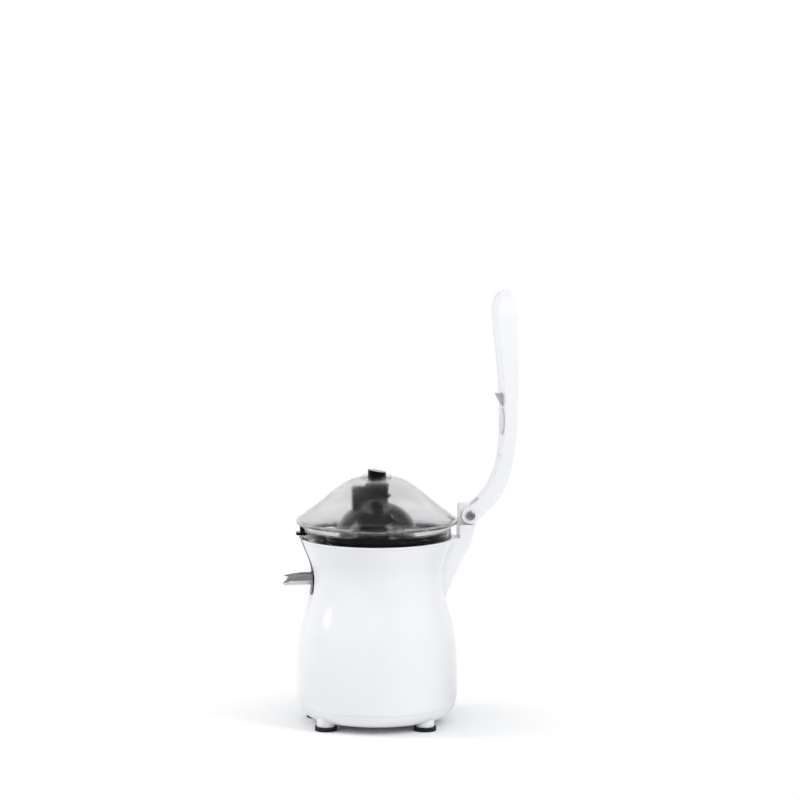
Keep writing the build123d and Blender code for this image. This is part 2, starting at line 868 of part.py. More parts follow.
with BuildPart() as cooling_fan:
    with BuildSketch(Plane.XY.offset(fan_top - fan_height)):
        Circle(rotor_shaft_radius + fan_hub_wall)
        Circle(rotor_shaft_radius, mode=Mode.SUBTRACT)
    extrude(amount=fan_height)
    with BuildSketch(Plane.XY.offset(fan_top - fan_disc)):
        Circle(fan_radius)
        Circle(rotor_shaft_radius, mode=Mode.SUBTRACT)
    extrude(amount=fan_disc)
    with BuildSketch(Plane.XY.offset(fan_top - fan_height)):
        with PolarLocations((fan_radius + fan_blade_start) / 2, fan_blades):
            Rectangle(fan_radius - fan_blade_start, fan_disc)
    extrude(amount=fan_height)
cooling_fan.part.label = "cooling_fan"
export_step(cooling_fan.part, "parts/cooling_fan.step")

# ---- start switch: the shaft's collar stands over its button ----
with BuildPart() as microswitch:
    with BuildSketch(Plane((switch_place, 0, cover_top))):
        Rectangle(switch_length, switch_width)
    extrude(amount=switch_height)
    with BuildSketch(Plane((button_place, 0, switch_top - 2 * button_rise))):
        Rectangle(button_length + 2 * pocket_gap, button_width + 2 * pocket_gap)
    extrude(amount=2 * button_rise, mode=Mode.SUBTRACT)
    with BuildSketch(Plane((switch_place - switch_length / 2, 0, cover_top + switch_height / 2))):
        with GridLocations(0, switch_width / 2, 1, 2):
            Rectangle(terminal_length, terminal_thickness)
    extrude(amount=terminal_reach)
microswitch.part.label = "microswitch"
export_step(microswitch.part, "parts/microswitch.step")

with BuildPart() as switch_button:
    with BuildSketch(Plane((button_place, 0, switch_top - 2 * button_rise + button_travel + pocket_gap))):
        Rectangle(button_length, button_width)
    extrude(amount=3 * button_rise - button_travel - pocket_gap)
switch_button.part.label = "switch_button"
export_step(switch_button.part, "parts/switch_button.step")

# ---- drive shaft: journal in its bush, collar under the seal, eight-sided drive above ----
with BuildPart() as drive_shaft:
    with BuildSketch(Plane.XY.offset(second_stage)):
        Circle(journal_radius)
    extrude(amount=deck_height + seat_gap - second_stage)
    with BuildSketch(Plane.XY.offset(collar_base)):
        Circle(start_collar_radius)
    extrude(amount=start_collar_thickness)
    with BuildSketch(Plane.XY.offset(deck_height + seat_gap)):
        Circle(shaft_radius)
    extrude(amount=deck_boss_height)
    with BuildSketch(Plane.XY.offset(boss_top + seat_gap)):
        RegularPolygon(shaft_radius, 8)
    extrude(amount=shaft_top - boss_top - seat_gap)
    chamfer(drive_shaft.faces().sort_by(Axis.Z)[-1].edges(), length=shaft_chamfer)
drive_shaft.part.label = "drive_shaft"
export_step(drive_shaft.part, "parts/drive_shaft.step")

with BuildPart() as drive_sleeve:
    with BuildSketch(Plane.XY.offset(sleeve_bottom)):
        RegularPolygon(sleeve_low_radius, 8)
    with BuildSketch(Plane.XY.offset(sleeve_top)):
        RegularPolygon(sleeve_radius, 8)
    loft()
    chamfer(drive_sleeve.faces().sort_by(Axis.Z)[-1].edges(), length=sleeve_chamfer)
    with BuildSketch(Plane.XZ):
        with BuildLine():
            Polyline(
                (0, sleeve_bottom + sleeve_foot_height),
                (0, sleeve_bottom),
                (sleeve_foot_radius, sleeve_bottom),
                (sleeve_foot_radius, sleeve_bottom + sleeve_foot_edge),
            )
            Spline(
                (sleeve_foot_radius, sleeve_bottom + sleeve_foot_edge),
                (sleeve_radius, sleeve_bottom + sleeve_foot_height),
                tangents=[(-0.7, 1), (-0.25, 1)],
            )
            Line(
                (sleeve_radius, sleeve_bottom + sleeve_foot_height),
                (0, sleeve_bottom + sleeve_foot_height),
            )
        make_face()
    revolve(axis=Axis.Z)
    with BuildSketch(Plane.XY.offset(sleeve_bottom)):
        RegularPolygon(shaft_radius + sleeve_gap, 8)
    extrude(amount=shaft_top + seat_gap - sleeve_bottom, mode=Mode.SUBTRACT)
drive_sleeve.part.label = "drive_sleeve"
export_step(drive_sleeve.part, "parts/drive_sleeve.step")

# ---- lever, drawn upright: side outline crossed with its width ----
def lever_line(points, shift):
    # one side of the arm's outline, moved along Y
    Spline(*[(hinge_offset + place + shift, hinge_height + share * lever_length) for place, share in points])


def lever_front(inset, low, high):
    # the arm's width seen from the front, from the root to the rounded tip
    half_root = root_width / 2 - inset
    half_top = lever_top_width / 2 - inset
    bend = hinge_height + 22
    Spline(
        (half_root, bend),
        (half_root + 6.0, hinge_height + 80),
        (half_top, high - 30),
        tangents=[(0, 1), (0, 1)],
    )
    Spline((half_top, high - 30), (0, high), tangents=[(0, 1), (-1, 0)])
    Spline((0, high), (-half_top, high - 30), tangents=[(-1, 0), (0, -1)])
    Spline(
        (-half_top, high - 30),
        (-half_root - 6.0, hinge_height + 80),
        (-half_root, bend),
        tangents=[(0, -1), (0, -1)],
    )
    Polyline((-half_root, bend), (-half_root, low), (half_root, low), (half_root, bend))


arm_top = hinge_height + lever_length
hollow_bottom = hinge_height + hollow_start
hollow_top = arm_top - hollow_end_wall
arm_reach = lever_top_width * 2
back_root, back_tip = lever_back_line[0][0], lever_back_line[-1][0]
face_tip, face_root = lever_face_line[0][0], lever_face_line[-1][0]
back_root_height = hinge_height + lever_back_line[0][1] * lever_length
face_root_height = hinge_height + lever_face_line[-1][1] * lever_length

with BuildPart() as lever_hollow:
    # room inside the arm, open on the inner face
    with BuildSketch(Plane.YZ):
        with BuildLine():
            lever_line(lever_back_line, -lever_wall)
            Line(
                (hinge_offset + back_tip - lever_wall, arm_top),
                (hinge_offset + face_tip - 2 * lever_wall, arm_top),
            )
            lever_line(lever_face_line, -2 * lever_wall)
            Line(
                (hinge_offset + face_root - 2 * lever_wall, face_root_height),
                (hinge_offset + back_root - lever_wall, back_root_height),
            )
        make_face()
    extrude(amount=arm_reach, both=True)
    with BuildSketch(Plane.XZ):
        with BuildLine():
            lever_front(lever_wall, hinge_height, hollow_top)
        make_face()
    extrude(amount=-2 * hinge_offset, mode=Mode.INTERSECT)
    split(bisect_by=Plane.XY.offset(hollow_bottom), keep=Keep.TOP)

with BuildPart() as lever:
    with BuildSketch(Plane.YZ):
        with BuildLine():
            lever_line(lever_back_line, 0)
            Line((hinge_offset + back_tip, arm_top), (hinge_offset + face_tip, arm_top))
            lever_line(lever_face_line, 0)
            Line(
                (hinge_offset + face_root, face_root_height),
                (hinge_offset + back_root, back_root_height),
            )
        make_face()
        with Locations((hinge_offset, hinge_height)):
            Circle(hub_radius)
    extrude(amount=arm_reach, both=True)
    with BuildSketch(Plane.XZ):
        with BuildLine():
            lever_front(0, hinge_height - 2 * hub_radius, arm_top)
        make_face()
    extrude(amount=-2 * hinge_offset, mode=Mode.INTERSECT)
    add(lever_hollow.part, mode=Mode.SUBTRACT)
    # slot between the cheeks
    with BuildSketch(Plane.YZ):
        with Locations((hinge_offset, hinge_height)):
            Circle(fork_reach)
    extrude(amount=slot_half, both=True, mode=Mode.SUBTRACT)
    with BuildSketch(Plane.YZ):
        with Locations((hinge_offset, hinge_height)):
            Circle(bush_radius)
    extrude(amount=root_width, both=True, mode=Mode.SUBTRACT)
lever.part.label = "lever"
export_step(lever.part, "parts/lever.step")

with BuildPart() as lever_cover:
    # plate that closes the hollow, flush with the inner face
    with BuildSketch(Plane.YZ):
        with BuildLine():
            lever_line(lever_face_line, 0)
            Line(
                (hinge_offset + face_root, face_root_height),
                (hinge_offset + face_root + lever_cover_thickness, face_root_height),
            )
            lever_line(lever_face_line, lever_cover_thickness)
            Line(
                (hinge_offset + face_tip + lever_cover_thickness, arm_top),
                (hinge_offset + face_tip, arm_top),
            )
        make_face()
    extrude(amount=arm_reach, both=True)
    with BuildSketch(Plane.XZ):
        with BuildLine():
            lever_front(lever_wall + lever_cover_gap, hinge_height, hollow_top - lever_cover_gap)
        make_face()
    extrude(amount=-2 * hinge_offset, mode=Mode.INTERSECT)
    split(bisect_by=Plane.XY.offset(hollow_bottom + lever_cover_gap), keep=Keep.TOP)
    # holes for the press socket and the latch
    with BuildSketch(Plane.XZ):
        with Locations((0, hinge_height + socket_height)):
            Circle(socket_radius)
        with Locations((0, hinge_height + latch_height)):
            Rectangle(latch_width + 2 * latch_gap, latch_depth + 2 * latch_gap)
    extrude(amount=-2 * hinge_offset, mode=Mode.SUBTRACT)
lever_cover.part.label = "lever_cover"
export_step(lever_cover.part, "parts/lever_cover.step")

# the inner face leans out around the socket
socket_lean = math.degrees(math.atan2(lever_face_line[5][0] - lever_face_line[7][0], 0.28 * lever_length))
socket_face = hinge_offset + socket_place
socket_plane = Plane(
    origin=(0, socket_face, hinge_height + socket_height),
    x_dir=(1, 0, 0),
    z_dir=(0, -math.cos(math.radians(socket_lean)), math.sin(math.radians(socket_lean))),
)
with BuildPart() as press_socket:
    with BuildSketch(socket_plane.offset(-lever_cover_thickness - socket_backing)):
        Circle(socket_radius - lever_cover_gap)
    extrude(amount=lever_cover_thickness + socket_backing + socket_depth)
    fillet(press_socket.faces().sort_by(Axis.Y)[0].edges(), radius=socket_depth * 0.8)
press_socket.part.label = "press_socket"
export_step(press_socket.part, "parts/press_socket.step")

latch_face = hinge_offset + latch_place
with BuildPart() as cap_latch:
    # hook with a flat top and a ramp below, on a stem that slides into the arm
    with BuildSketch(Plane.YZ):
        with BuildLine():
            Polyline(
                (latch_face + lever_cover_thickness + latch_stem, hinge_height + latch_height + latch_depth / 2),
                (latch_face - latch_reach, hinge_height + latch_height + latch_depth / 2),
                (latch_face - latch_reach, hinge_height + latch_height + latch_depth / 2 - latch_edge),
                (latch_face - latch_stem, hinge_height + latch_height - latch_depth / 2),
                (latch_face + lever_cover_thickness + latch_stem, hinge_height + latch_height - latch_depth / 2),
                close=True,
            )
        make_face()
    extrude(amount=latch_width / 2, both=True)
cap_latch.part.label = "cap_latch"
export_step(cap_latch.part, "parts/cap_latch.step")

# ---- hinge bolt, nut and bushes ----
with BuildPart() as hinge_bolt:
    with BuildSketch(Plane.YZ.offset(-root_width / 2 - fork_gap - bolt_head_height)):
        with Locations((hinge_offset, hinge_height)):
            Circle(bolt_radius)
    extrude(amount=root_width + 2 * fork_gap + bolt_head_height)
    with BuildSketch(Plane.YZ.offset(root_width / 2 + fork_gap)):
        with Locations((hinge_offset, hinge_height)):
            Circle(bolt_head_radius)
    extrude(amount=bolt_head_height)
    fillet(hinge_bolt.faces().sort_by(Axis.X)[-1].edges(), radius=bolt_head_height * 0.5)
    with BuildSketch(Plane.YZ.offset(root_width / 2 + fork_gap + bolt_head_height)):
        with Locations((hinge_offset, hinge_height)):
            RegularPolygon(bolt_socket, 6)
    extrude(amount=-bolt_head_height * 0.6, mode=Mode.SUBTRACT)
hinge_bolt.part.label = "hinge_bolt"
export_step(hinge_bolt.part, "parts/hinge_bolt.step")

with BuildPart() as hinge_nut:
    with BuildSketch(Plane.YZ.offset(-root_width / 2 - fork_gap)):
        with Locations((hinge_offset, hinge_height)):
            RegularPolygon(bolt_head_radius, 6)
            Circle(bolt_radius, mode=Mode.SUBTRACT)
    extrude(amount=-bolt_head_height)
hinge_nut.part.label = "hinge_nut"
export_step(hinge_nut.part, "parts/hinge_nut.step")

with BuildPart() as hinge_bushes:
    with BuildSketch(Plane.YZ.offset(slot_half)):
        with Locations((hinge_offset, hinge_height)):
            Circle(bush_radius)
            Circle(bolt_radius + bush_gap, mode=Mode.SUBTRACT)
    extrude(amount=root_width / 2 - slot_half)
    mirror(about=Plane.YZ)
hinge_bushes.part.label = "hinge_bushes"
export_step(hinge_bushes.part, "parts/hinge_bushes.step")

# ---- juice bowl: turned, with a floor that falls towards the outlet ----
bowl_low = bowl_floor_height - 12
band_bottom = bowl_rim_height - bowl_rim_band


def bowl_side(inset):
    # collar, level ledge and curved flank, moved in by a wall
    ledge = bowl_step_height - bowl_wall + inset
    Polyline(
        (bowl_collar_radius - inset, band_bottom),
        (bowl_collar_radius - inset, ledge),
        (bowl_step_radius - inset, ledge),
    )
    Spline(
        (bowl_step_radius - inset, ledge),
        (bowl_bottom_radius - inset, bowl_floor_height + 4),
        tangents=[(-0.15, -1), (-0.12, -1)],
    )
    Line((bowl_bottom_radius - inset, bowl_floor_height + 4), (bowl_bottom_radius - inset, bowl_low))


with BuildPart() as bowl_hollow:
    with BuildSketch(Plane.XZ):
        with BuildLine():
            bowl_side(bowl_wall)
            Polyline(
                (bowl_bottom_radius - bowl_wall, bowl_low),
                (0, bowl_low),
                (0, bowl_rim_height),
                (bowl_rim_radius - bowl_wall, bowl_rim_height),
                (bowl_collar_radius - bowl_wall, band_bottom),
            )
        make_face()
    revolve(axis=Axis.Z)
    split(bisect_by=floor_over, keep=Keep.TOP)

with BuildPart() as juice_bowl:
    with BuildSketch(Plane.XZ):
        with BuildLine():
            bowl_side(0)
            Polyline(
                (bowl_bottom_radius, bowl_low),
                (0, bowl_low),
                (0, bowl_rim_height),
                (bowl_rim_radius, bowl_rim_height),
                (bowl_rim_radius, bowl_rim_height - bowl_wall),
                (bowl_collar_radius, band_bottom),
            )
        make_face()
    revolve(axis=Axis.Z)
    split(bisect_by=floor_under, keep=Keep.TOP)
    add(bowl_hollow.part, mode=Mode.SUBTRACT)
    # tube round the drive, flared where it meets the floor
    with BuildSketch(Plane.XZ):
        with BuildLine():
            Polyline(
                (0, tube_top),
                (tube_radius, tube_top),
                (tube_radius, bowl_floor_height + tube_foot_height),
            )
            Spline(
                (tube_radius, bowl_floor_height + tube_foot_height),
                (tube_radius + tube_swell, bowl_floor_height + tube_swell_height),
                (tube_foot_radius, bowl_floor_height + 1),
                tangents=[(0, -1), (1, -0.6)],
            )
            Polyline(
                (tube_foot_radius, bowl_floor_height + 1),
                (tube_foot_radius, bowl_floor_height - tube_skirt),
                (0, bowl_floor_height - tube_skirt),
                (0, tube_top),
            )
        make_face()
    revolve(axis=Axis.Z)
    # outlet spigot and the spout's two ears
    with BuildSketch(Plane.XY.offset(bowl_floor_height - bowl_wall - outlet_depth)):
        with Locations((0, -outlet_place)):
            Circle(outlet_radius + outlet_wall)
    extrude(amount=outlet_depth)
    for side in (-1, 1):
        ear_place = side * (holder_half + ear_gap + ear_thickness / 2)
        with BuildSketch(Plane.YZ.offset(ear_place)):
            with BuildLine():
                Polyline(
                    (-spout_pivot_place - ear_half, bowl_floor_height - 1),
                    (-spout_pivot_place - ear_half, spout_pivot_height),
                    (-spout_pivot_place - ear_half / 2, spout_pivot_height - ear_half),
                    (-spout_pivot_place + ear_half / 2, spout_pivot_height - ear_half),
                    (-spout_pivot_place + ear_half, spout_pivot_height),
                    (-spout_pivot_place + ear_half, bowl_floor_height - 1),
                    close=True,
                )
            make_face()
        extrude(amount=ear_thickness / 2, both=True)
    # way through the tube, through the outlet and through the ears
    with BuildSketch(Plane.XZ):
        with BuildLine():
            Polyline(
                (0, bowl_low),
                (0, tube_top),
                (tube_radius - bowl_wall, tube_top),
                (tube_radius - bowl_wall, bowl_floor_height + tube_foot_height),
            )
            Spline(
                (tube_radius - bowl_wall, bowl_floor_height + tube_foot_height),
                (tube_radius + tube_swell - bowl_wall, bowl_floor_height + tube_swell_height - 1),
                (tube_foot_radius - bowl_wall, bowl_floor_height - 1),
                tangents=[(0, -1), (1, -0.6)],
            )
            Polyline(
                (tube_foot_radius - bowl_wall, bowl_floor_height - 1),
                (tube_foot_radius - bowl_wall, bowl_low),
                (0, bowl_low),
            )
        make_face()
    revolve(axis=Axis.Z, mode=Mode.SUBTRACT)
    with BuildSketch(Plane.XY.offset(bowl_low)):
        with Locations((0, -outlet_place)):
            Circle(outlet_radius)
    extrude(amount=2 * outlet_place, mode=Mode.SUBTRACT)
    with BuildSketch(Plane.YZ):
        with Locations((-spout_pivot_place, spout_pivot_height)):
            Circle(spout_pin_radius)
    extrude(amount=bowl_rim_radius / 2, both=True, mode=Mode.SUBTRACT)
    # recess in the rim for the strainer's tab
    with BuildSketch(Plane.XY.offset(bowl_step_height - tab_gap)):
        with Locations((0, -tab_place)):
            Rectangle(2 * tab_radius + 2 * tab_gap, 2 * tab_radius + 4 * tab_gap)
    extrude(amount=bowl_rim_height, mode=Mode.SUBTRACT)
juice_bowl.part.label = "juice_bowl"
export_step(juice_bowl.part, "parts/juice_bowl.step")

# ---- spout: a steel trough in a black holder that tips on a pin under the bowl ----
trough_half = trough_width / 2
trough_back = holder_back + holder_wall + trough_gap
trough_bottom = spout_bottom + holder_wall

with BuildPart() as spout_trough:
    with BuildSketch(Plane.YZ):
        with BuildLine():
            Polyline(
                (-trough_back, spout_top),
                (-trough_back, trough_bottom),
                (-spout_tip + 4, trough_bottom),
            )
            Spline(
                (-spout_tip + 4, trough_bottom),
                (-spout_tip, trough_bottom + 1.2),
                (-spout_tip + 7, trough_bottom + 6.5),
                (-spout_tip + 20, spout_top),
                tangents=[(-1, 0), (1, 0.12)],
            )
            Line((-spout_tip + 20, spout_top), (-trough_back, spout_top))
        make_face()
    extrude(amount=trough_half, both=True)
    # round the channel's floor, then hollow it from above
    with BuildSketch(Plane.XZ):
        with BuildLine():
            Polyline(
                (-trough_half, trough_bottom + trough_half * 0.6),
                (-trough_half, spout_top),
                (trough_half, spout_top),
                (trough_half, trough_bottom + trough_half * 0.6),
            )
            ThreePointArc(
                (trough_half, trough_bottom + trough_half * 0.6),
                (0, trough_bottom),
                (-trough_half, trough_bottom + trough_half * 0.6),
            )
        make_face()
    extrude(amount=2 * spout_tip, mode=Mode.INTERSECT)
    with BuildSketch(Plane.XZ.offset(trough_back + trough_wall)):
        with BuildLine():
            Polyline(
                (-trough_half + trough_wall, trough_bottom + trough_half * 0.6),
                (-trough_half + trough_wall, spout_top),
                (trough_half - trough_wall, spout_top),
                (trough_half - trough_wall, trough_bottom + trough_half * 0.6),
            )
            ThreePointArc(
                (trough_half - trough_wall, trough_bottom + trough_half * 0.6),
                (0, trough_bottom + trough_wall),
                (-trough_half + trough_wall, trough_bottom + trough_half * 0.6),
            )
        make_face()
    extrude(amount=spout_tip, mode=Mode.SUBTRACT)
    # rear wall kept low under the bowl's outlet
    with BuildSketch(Plane.XY.offset(spout_top - outlet_depth)):
        with Locations((0, -trough_back)):
            Rectangle(2 * trough_half - 2 * trough_wall, 4 * trough_wall)
    extrude(amount=2 * outlet_depth, mode=Mode.SUBTRACT)
spout_trough.part.label = "spout_trough"
export_step(spout_trough.part, "parts/spout_trough.step")

with BuildPart() as spout_holder:
    with BuildSketch(Plane.YZ):
        with BuildLine():
            Polyline(
                (-holder_front, spout_top + 0.4),
                (-holder_back, spout_top + 0.4),
                (-holder_back, spout_bottom),
                (-holder_front + 3, spout_bottom),
                (-holder_front, spout_bottom + 3),
                close=True,
            )
        make_face()
    extrude(amount=holder_half, both=True)
    with BuildSketch(Plane.YZ):
        with Locations((-spout_pivot_place, spout_pivot_height)):
            Circle(holder_eye_radius)
        with Locations((-(spout_pivot_place + holder_back) / 2, spout_pivot_height)):
            Rectangle(holder_back - spout_pivot_place + 2, holder_eye_radius * 1.2)
    extrude(amount=holder_half, both=True)
    # room for the trough
    with BuildSketch(Plane.XZ.offset(trough_back - trough_gap)):
        with BuildLine():
            Polyline(
                (-trough_half - trough_gap, trough_bottom + trough_half * 0.6),
                (-trough_half - trough_gap, bowl_floor_height),
                (trough_half + trough_gap, bowl_floor_height),
                (trough_half + trough_gap, trough_bottom + trough_half * 0.6),
            )
            ThreePointArc(
                (trough_half + trough_gap, trough_bottom + trough_half * 0.6),
                (0, trough_bottom - trough_gap),
                (-trough_half - trough_gap, trough_bottom + trough_half * 0.6),
            )
        make_face()
    extrude(amount=spout_tip, mode=Mode.SUBTRACT)
    with BuildSketch(Plane.XY.offset(spout_top - outlet_depth)):
        with Locations((0, -holder_back)):
            Rectangle(2 * trough_half - 2 * trough_wall, 4 * holder_wall)
    extrude(amount=2 * outlet_depth, mode=Mode.SUBTRACT)
    with BuildSketch(Plane.YZ):
        with Locations((-spout_pivot_place, spout_pivot_height)):
            Circle(spout_pin_radius + running_gap)
    extrude(amount=holder_half, both=True, mode=Mode.SUBTRACT)
spout_holder.part.label = "spout_holder"
export_step(spout_holder.part, "parts/spout_holder.step")

with BuildPart() as spout_pin:
    with BuildSketch(Plane.YZ):
        with Locations((-spout_pivot_place, spout_pivot_height)):
            Circle(spout_pin_radius)
    extrude(amount=holder_half + ear_gap + ear_thickness, both=True)
    # button head at each end
    with BuildSketch(Plane.YZ.offset(holder_half + ear_gap + ear_thickness)):
        with Locations((-spout_pivot_place, spout_pivot_height)):
            Circle(pin_head_radius)
    extrude(amount=pin_head_thickness)
    mirror(about=Plane.YZ)
spout_pin.part.label = "spout_pin"
export_step(spout_pin.part, "parts/spout_pin.step")

# ---- strainer ----
hub_inner = strainer_hub_radius - strainer_hub_gap
slot_inner = strainer_hub_radius + slot_inset
slot_outer = strainer_radius * 0.72


def strainer_side(inset):
    # under the band the wall turns in, steep at first and nearly level at the floor
    Spline(
        (strainer_radius - strainer_shoulder - inset, strainer_rim - strainer_band),
        (strainer_radius * 0.91 - inset, strainer_rim - strainer_depth * 0.43 + inset * 0.3),
        (strainer_radius * 0.85 - inset, strainer_rim - strainer_depth * 0.67 + inset * 0.5),
        (strainer_radius * 0.735 - inset * 0.7, strainer_floor + strainer_rise + inset * 0.8),
        (strainer_radius * 0.5, strainer_floor + inset),
        tangents=[(-0.1, -1), (-1, -0.1)],
    )
    Line((strainer_radius * 0.5, strainer_floor + inset), (0, strainer_floor + inset))


with BuildPart() as strainer:
    with BuildSketch(Plane.XZ):
        with BuildLine():
            strainer_side(0)
            Polyline(
                (0, strainer_floor),
                (0, strainer_rim),
                (strainer_radius, strainer_rim),
                (strainer_radius, strainer_rim - strainer_band),
                (strainer_radius - strainer_shoulder, strainer_rim - strainer_band),
            )
        make_face()
    revolve(axis=Axis.Z)
    with BuildSketch(Plane.XZ):
        with BuildLine():
            strainer_side(strainer_wall)
            Polyline(
                (0, strainer_floor + strainer_wall),
                (0, strainer_rim),
                (strainer_radius - strainer_shoulder - strainer_wall, strainer_rim),
                (strainer_radius - strainer_shoulder - strainer_wall, strainer_rim - strainer_band),
            )
        make_face()
    revolve(axis=Axis.Z, mode=Mode.SUBTRACT)
    with BuildSketch(Plane.XY.offset(strainer_floor)):
        Circle(strainer_hub_radius)
    extrude(amount=strainer_depth)
    with BuildSketch(Plane.XY.offset(strainer_floor)):
        Circle(hub_inner)
    extrude(amount=strainer_depth, mode=Mode.SUBTRACT)
    with BuildSketch(Plane.XY.offset(strainer_floor)):
        with PolarLocations((slot_inner + slot_outer) / 2, strainer_slots):
            SlotOverall(slot_outer - slot_inner, strainer_slot_width)
    extrude(amount=strainer_rise + 3 * strainer_wall, mode=Mode.SUBTRACT)
    # tab with its upright peg, to lift the strainer by
    with BuildSketch(Plane.XY.offset(strainer_rim - strainer_band)):
        with Locations((0, -tab_place)):
            Circle(tab_radius)
        with Locations((0, -tab_place + tab_radius / 2)):
            Rectangle(tab_radius * 1.4, tab_radius)
    extrude(amount=tab_thickness)
    with BuildSketch(Plane.XY.offset(strainer_rim - strainer_band)):
        with Locations((0, -tab_place)):
            Circle(peg_radius)
    extrude(amount=bowl_rim_height - peg_top_gap - strainer_rim + strainer_band)
strainer.part.label = "strainer"
export_step(strainer.part, "parts/strainer.step")

# ---- thrust ring that the reamer runs on ----
with BuildPart() as thrust_ring:
    with BuildSketch(Plane.XY.offset(ring_bottom)):
        Circle(ring_radius)
        Circle(ring_bore, mode=Mode.SUBTRACT)
    extrude(amount=ring_thickness)
thrust_ring.part.label = "thrust_ring"
export_step(thrust_ring.part, "parts/thrust_ring.step")

# ---- reamer ----
hub_clear = strainer_hub_radius + hub_running_gap
shoulder = reamer_seat + seat_gap
crown = dome_top - rib_height
brim_fold = brim_height + brim_drop


def dome_side(swell):
    # the dome from its brim up to its flat crown
    foot = dome_radius - rib_height
    Spline(
        (foot + swell, brim_fold),
        (foot - 0.4 + swell, brim_height + dome_height * 0.36),
        (dome_radius * 0.745 + swell * 0.7, brim_height + dome_height * 0.72 + swell * 0.5),
        (dome_top_radius, crown + swell),
        tangents=[(-0.02, 1), (-1, 0.45)],
    )


with BuildPart() as reamer_hollow:
    # room under the dome, outside the sleeve round the strainer's hub
    with BuildSketch(Plane.XZ):
        with BuildLine():
            dome_side(-reamer_wall)
            Polyline(
                (dome_top_radius, crown - reamer_wall),
                (0, crown - reamer_wall),
                (0, brim_height - 2 * brim_dish),
                (dome_radius + rib_height, brim_height - 2 * brim_dish),
                (dome_radius + rib_height, brim_fold - 1.6 * reamer_wall),
                (dome_radius - rib_height - reamer_wall, brim_fold - reamer_wall),
                (dome_radius - rib_height - reamer_wall, brim_fold),
            )
        make_face()
    revolve(axis=Axis.Z)
    with BuildSketch(Plane.XY.offset(brim_height - 2 * brim_dish)):
        Circle(hub_clear + reamer_wall)
    extrude(amount=2 * dome_height, mode=Mode.SUBTRACT)

with BuildPart() as reamer:
    with BuildSketch(Plane.XZ):
        with BuildLine():
            dome_side(0)
            Polyline(
                (dome_top_radius, crown),
                (dome_top_radius * 0.4, crown - crown_dip),
                (0, crown - crown_dip),
                (0, brim_height - brim_dish),
                (dome_radius + brim_dish, brim_height - brim_dish),
                (brim_radius, brim_height - brim_edge),
                (brim_radius, brim_height),
                (dome_radius - rib_height, brim_fold),
            )
        make_face()
    revolve(axis=Axis.Z)
    # ribs from the brim to the crown
    for rib in range(rib_count):
        turn = rib_turn + 2 * math.pi * rib / rib_count
        rib_plane = Plane(
            origin=(0, 0, 0),
            x_dir=(math.cos(turn), math.sin(turn), 0),
            z_dir=(math.sin(turn), -math.cos(turn), 0),
        )
        with BuildSketch(rib_plane):
            with BuildLine():
                dome_side(rib_height)
                Polyline(
                    (dome_top_radius, dome_top),
                    (0, dome_top - 2 * crown_dip),
                    (0, brim_fold),
                    (dome_radius / 2, brim_height),
                    (brim_radius - 2 * brim_edge, brim_height),
                    (dome_radius, brim_fold + brim_edge),
                    (dome_radius, brim_fold),
                )
            make_face()
        extrude(amount=rib_thickness / 2, both=True)
    # spike
    with BuildSketch(Plane.XY.offset(crown - 2 * crown_dip)):
        Rectangle(2 * spike_radius, 2 * spike_radius)
    with BuildSketch(Plane.XY.offset(dome_top + spike_height)):
        Rectangle(spike_radius, spike_radius)
    loft()
    add(reamer_hollow.part, mode=Mode.SUBTRACT)
    # room for the strainer's hub, and the eight-sided socket of the drive
    with BuildSketch(Plane.XY.offset(brim_height - brim_dish)):
        Circle(hub_clear)
    extrude(amount=shoulder - brim_height + brim_dish, mode=Mode.SUBTRACT)
    with BuildSketch(Plane.XY.offset(shoulder)):
        RegularPolygon(sleeve_low_radius + sleeve_gap, 8)
    extrude(amount=sleeve_top + seat_gap - shoulder, mode=Mode.SUBTRACT)
reamer.part.label = "reamer"
export_step(reamer.part, "parts/reamer.step")

# ---- press cap and its stem ----
neck_foot = cap_top - cap_wall
cap_crown = cap_top - cap_crown_drop
catch_top = collar_top - catch_drop
catch_foot = cap_bottom + cap_height * 0.78


def cap_side(inset):
    # the cap's dome from its rim to its crown, moved in by a wall
    Spline(
        (cap_radius - cap_bead - inset, cap_bottom + cap_bead - inset * 0.2),
        (cap_radius * 0.841 - inset * 0.94, cap_bottom + cap_height * 0.369 - inset * 0.34),
        (cap_radius * 0.72 - inset * 0.74, cap_bottom + cap_height * 0.611 - inset * 0.67),
        (cap_radius * 0.54 - inset * 0.55, cap_bottom + cap_height * 0.811 - inset * 0.84),
        (neck_outer, cap_crown - inset),
        tangents=[(-0.1, 1), (-1, 0.3)],
    )


with BuildPart() as press_cap:
    with BuildSketch(Plane.XZ):
        with BuildLine():
            cap_side(0)
            Polyline(
                (neck_outer, cap_crown),
                (0, cap_crown),
                (0, cap_bottom),
                (cap_radius - cap_bead_edge, cap_bottom),
                (cap_radius, cap_bottom + cap_bead_edge),
                (cap_radius, cap_bottom + cap_bead - cap_bead_edge),
                (cap_radius - cap_bead, cap_bottom + cap_bead),
            )
        make_face()
    revolve(axis=Axis.Z)
    with BuildSketch(Plane.XZ):
        with BuildLine():
            cap_side(cap_wall)
            Polyline(
                (neck_outer, cap_crown - cap_wall),
                (0, cap_crown - cap_wall),
                (0, cap_bottom),
                (cap_radius - cap_bead - cap_wall, cap_bottom),
                (cap_radius - cap_bead - cap_wall, cap_bottom + cap_bead - cap_wall * 0.2),
            )
        make_face()
    revolve(axis=Axis.Z, mode=Mode.SUBTRACT)
    with BuildSketch(Plane.XY.offset(cap_bottom)):
        Circle(neck_outer)
    extrude(amount=2 * cap_height, mode=Mode.SUBTRACT)
press_cap.part.label = "press_cap"
export_step(press_cap.part, "parts/press_cap.step")

